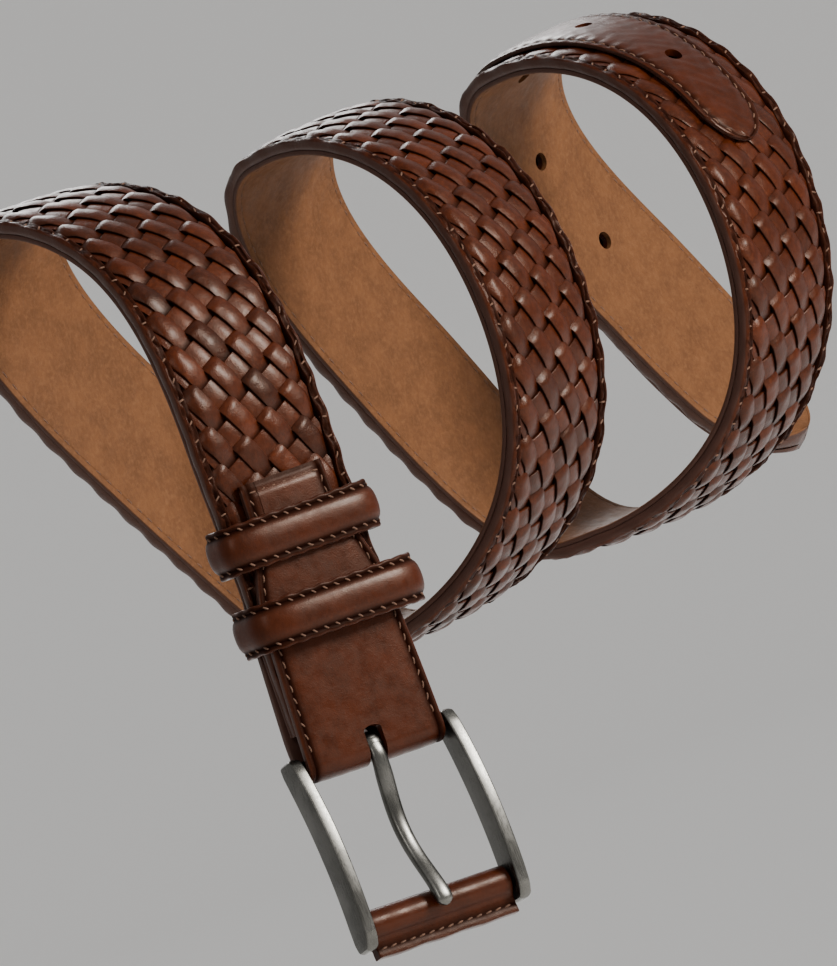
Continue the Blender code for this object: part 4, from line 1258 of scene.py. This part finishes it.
def make_camera():
    ahead, right, up, level_right = view_axes()
    target = level_right * VIEW_CENTRE_ACROSS + Vector((0.0, 0.0, VIEW_CENTRE_UP))
    data = bpy.data.cameras.new("camera")
    data.sensor_width = IMAGE_SENSOR
    data.lens = IMAGE_SENSOR * CAMERA_DISTANCE / VIEW_HEIGHT
    data.clip_end = 60.0
    camera = add_object("camera", data)
    turned = Matrix((right, up, -ahead)).transposed().to_4x4()
    camera.matrix_world = Matrix.Translation(target - ahead * CAMERA_DISTANCE) @ turned
    bpy.context.scene.camera = camera
    return target


def area_light(name, target, direction, distance, size, power, colour=(1.0, 1.0, 1.0)):
    data = bpy.data.lights.new(name, "AREA")
    data.shape = "RECTANGLE"
    data.size, data.size_y = size
    data.energy = power
    data.color = colour
    lamp = add_object(name, data)
    lamp.location = target + direction.normalized() * distance
    lamp.rotation_mode = "QUATERNION"
    lamp.rotation_quaternion = direction.to_track_quat("Z", "Y")


def make_floor():
    """A wide pale floor that sweeps up all round, far beyond the belt."""
    sweep = np.linspace(0.0, math.pi / 2, 16)
    flat = np.linspace(0.0, ROOM_FLAT, 12)[:-1]
    radii = np.concatenate([flat, ROOM_FLAT + ROOM_SWEEP * np.sin(sweep), [ROOM_FLAT + ROOM_SWEEP]])[:, None]
    heights = np.concatenate([0.0 * flat, ROOM_SWEEP * (1.0 - np.cos(sweep)), [ROOM_WALL_TOP]])[:, None]
    turn = full_turn(64)
    points = stacked(radii * np.cos(turn), radii * np.sin(turn), heights - FLOOR_DROP)
    floor = make_object("floor", points.reshape(-1, 3), grid_faces(len(radii), 64), weld=True)
    made = Nodes("floor")
    made.set(Base_Color=(0.90, 0.897, 0.89, 1.0), Roughness=0.9, Specular_IOR_Level=0.1)
    floor.data.materials.append(made.material)


def make_lights(target):
    ahead, right, up, _ = view_axes()
    key = right * 0.75 + up * 0.75 - ahead * 0.55
    area_light("key", target, key, 0.75, (0.20, 0.24), 12.0, (1.0, 0.97, 0.93))
    area_light("front", target, right * -0.35 + up * 0.35 - ahead, 1.1, (0.20, 0.6), 2.0, (1.0, 0.97, 0.94))
    area_light("rim", target, right * -0.4 + up * 0.7 + ahead, 1.1, (0.5, 0.4), 9.0)
    world = bpy.data.worlds.new("world")
    world.use_nodes = True
    background = world.node_tree.nodes["Background"]
    background.inputs["Color"].default_value = (0.83, 0.82, 0.81, 1.0)
    background.inputs["Strength"].default_value = 0.72
    bpy.context.scene.world = world


def main():
    random = np.random.default_rng(7)
    woven = leather("woven_leather", LEATHER_DEEP, LEATHER_BASE, LEATHER_LIGHT)
    plain = leather("plain_leather", LEATHER_DEEP, PLAIN_BASE, PLAIN_LIGHT, grain=0.30, creased=0.35)
    inside = leather("lining_leather", LINING_DEEP, LINING_BASE, LINING_LIGHT, (0.5, 0.65), 0.0)
    thread = thread_material()
    metal = metal_material()

    core = strap_core(woven, random)
    lining = lining_skin(inside)
    strands = (pillow_strands(woven, random), step_strands(woven, random))
    border_threads(thread, random)
    lining_threads(thread)
    buckle_tab(plain)
    tab_threads(thread, random)
    upper = (UPPER_KEEPER_AT, UPPER_KEEPER_SLACK, UPPER_KEEPER_SHIFT)
    lower = (LOWER_KEEPER_AT, LOWER_KEEPER_SLACK, LOWER_KEEPER_SHIFT)
    keeper("upper_loop", "keeper_upper", *upper, plain, thread)
    keeper("lower_loop", "keeper_lower", *lower, plain, thread)
    tongue = end_tab(plain, thread, random)
    punch_holes((core, lining, tongue))
    for piece in strands:
        clear_strands(piece)

    place = belt_matrix(0.0, BAR_HEIGHT) @ Matrix.Rotation(-BUCKLE_SWING, 4, "X")
    side_plates(metal, place)
    buckle_bars(metal, place)
    bar_wrap(plain, thread, place)
    prong(metal, place)

    target = make_camera()
    make_floor()
    make_lights(target)


main()
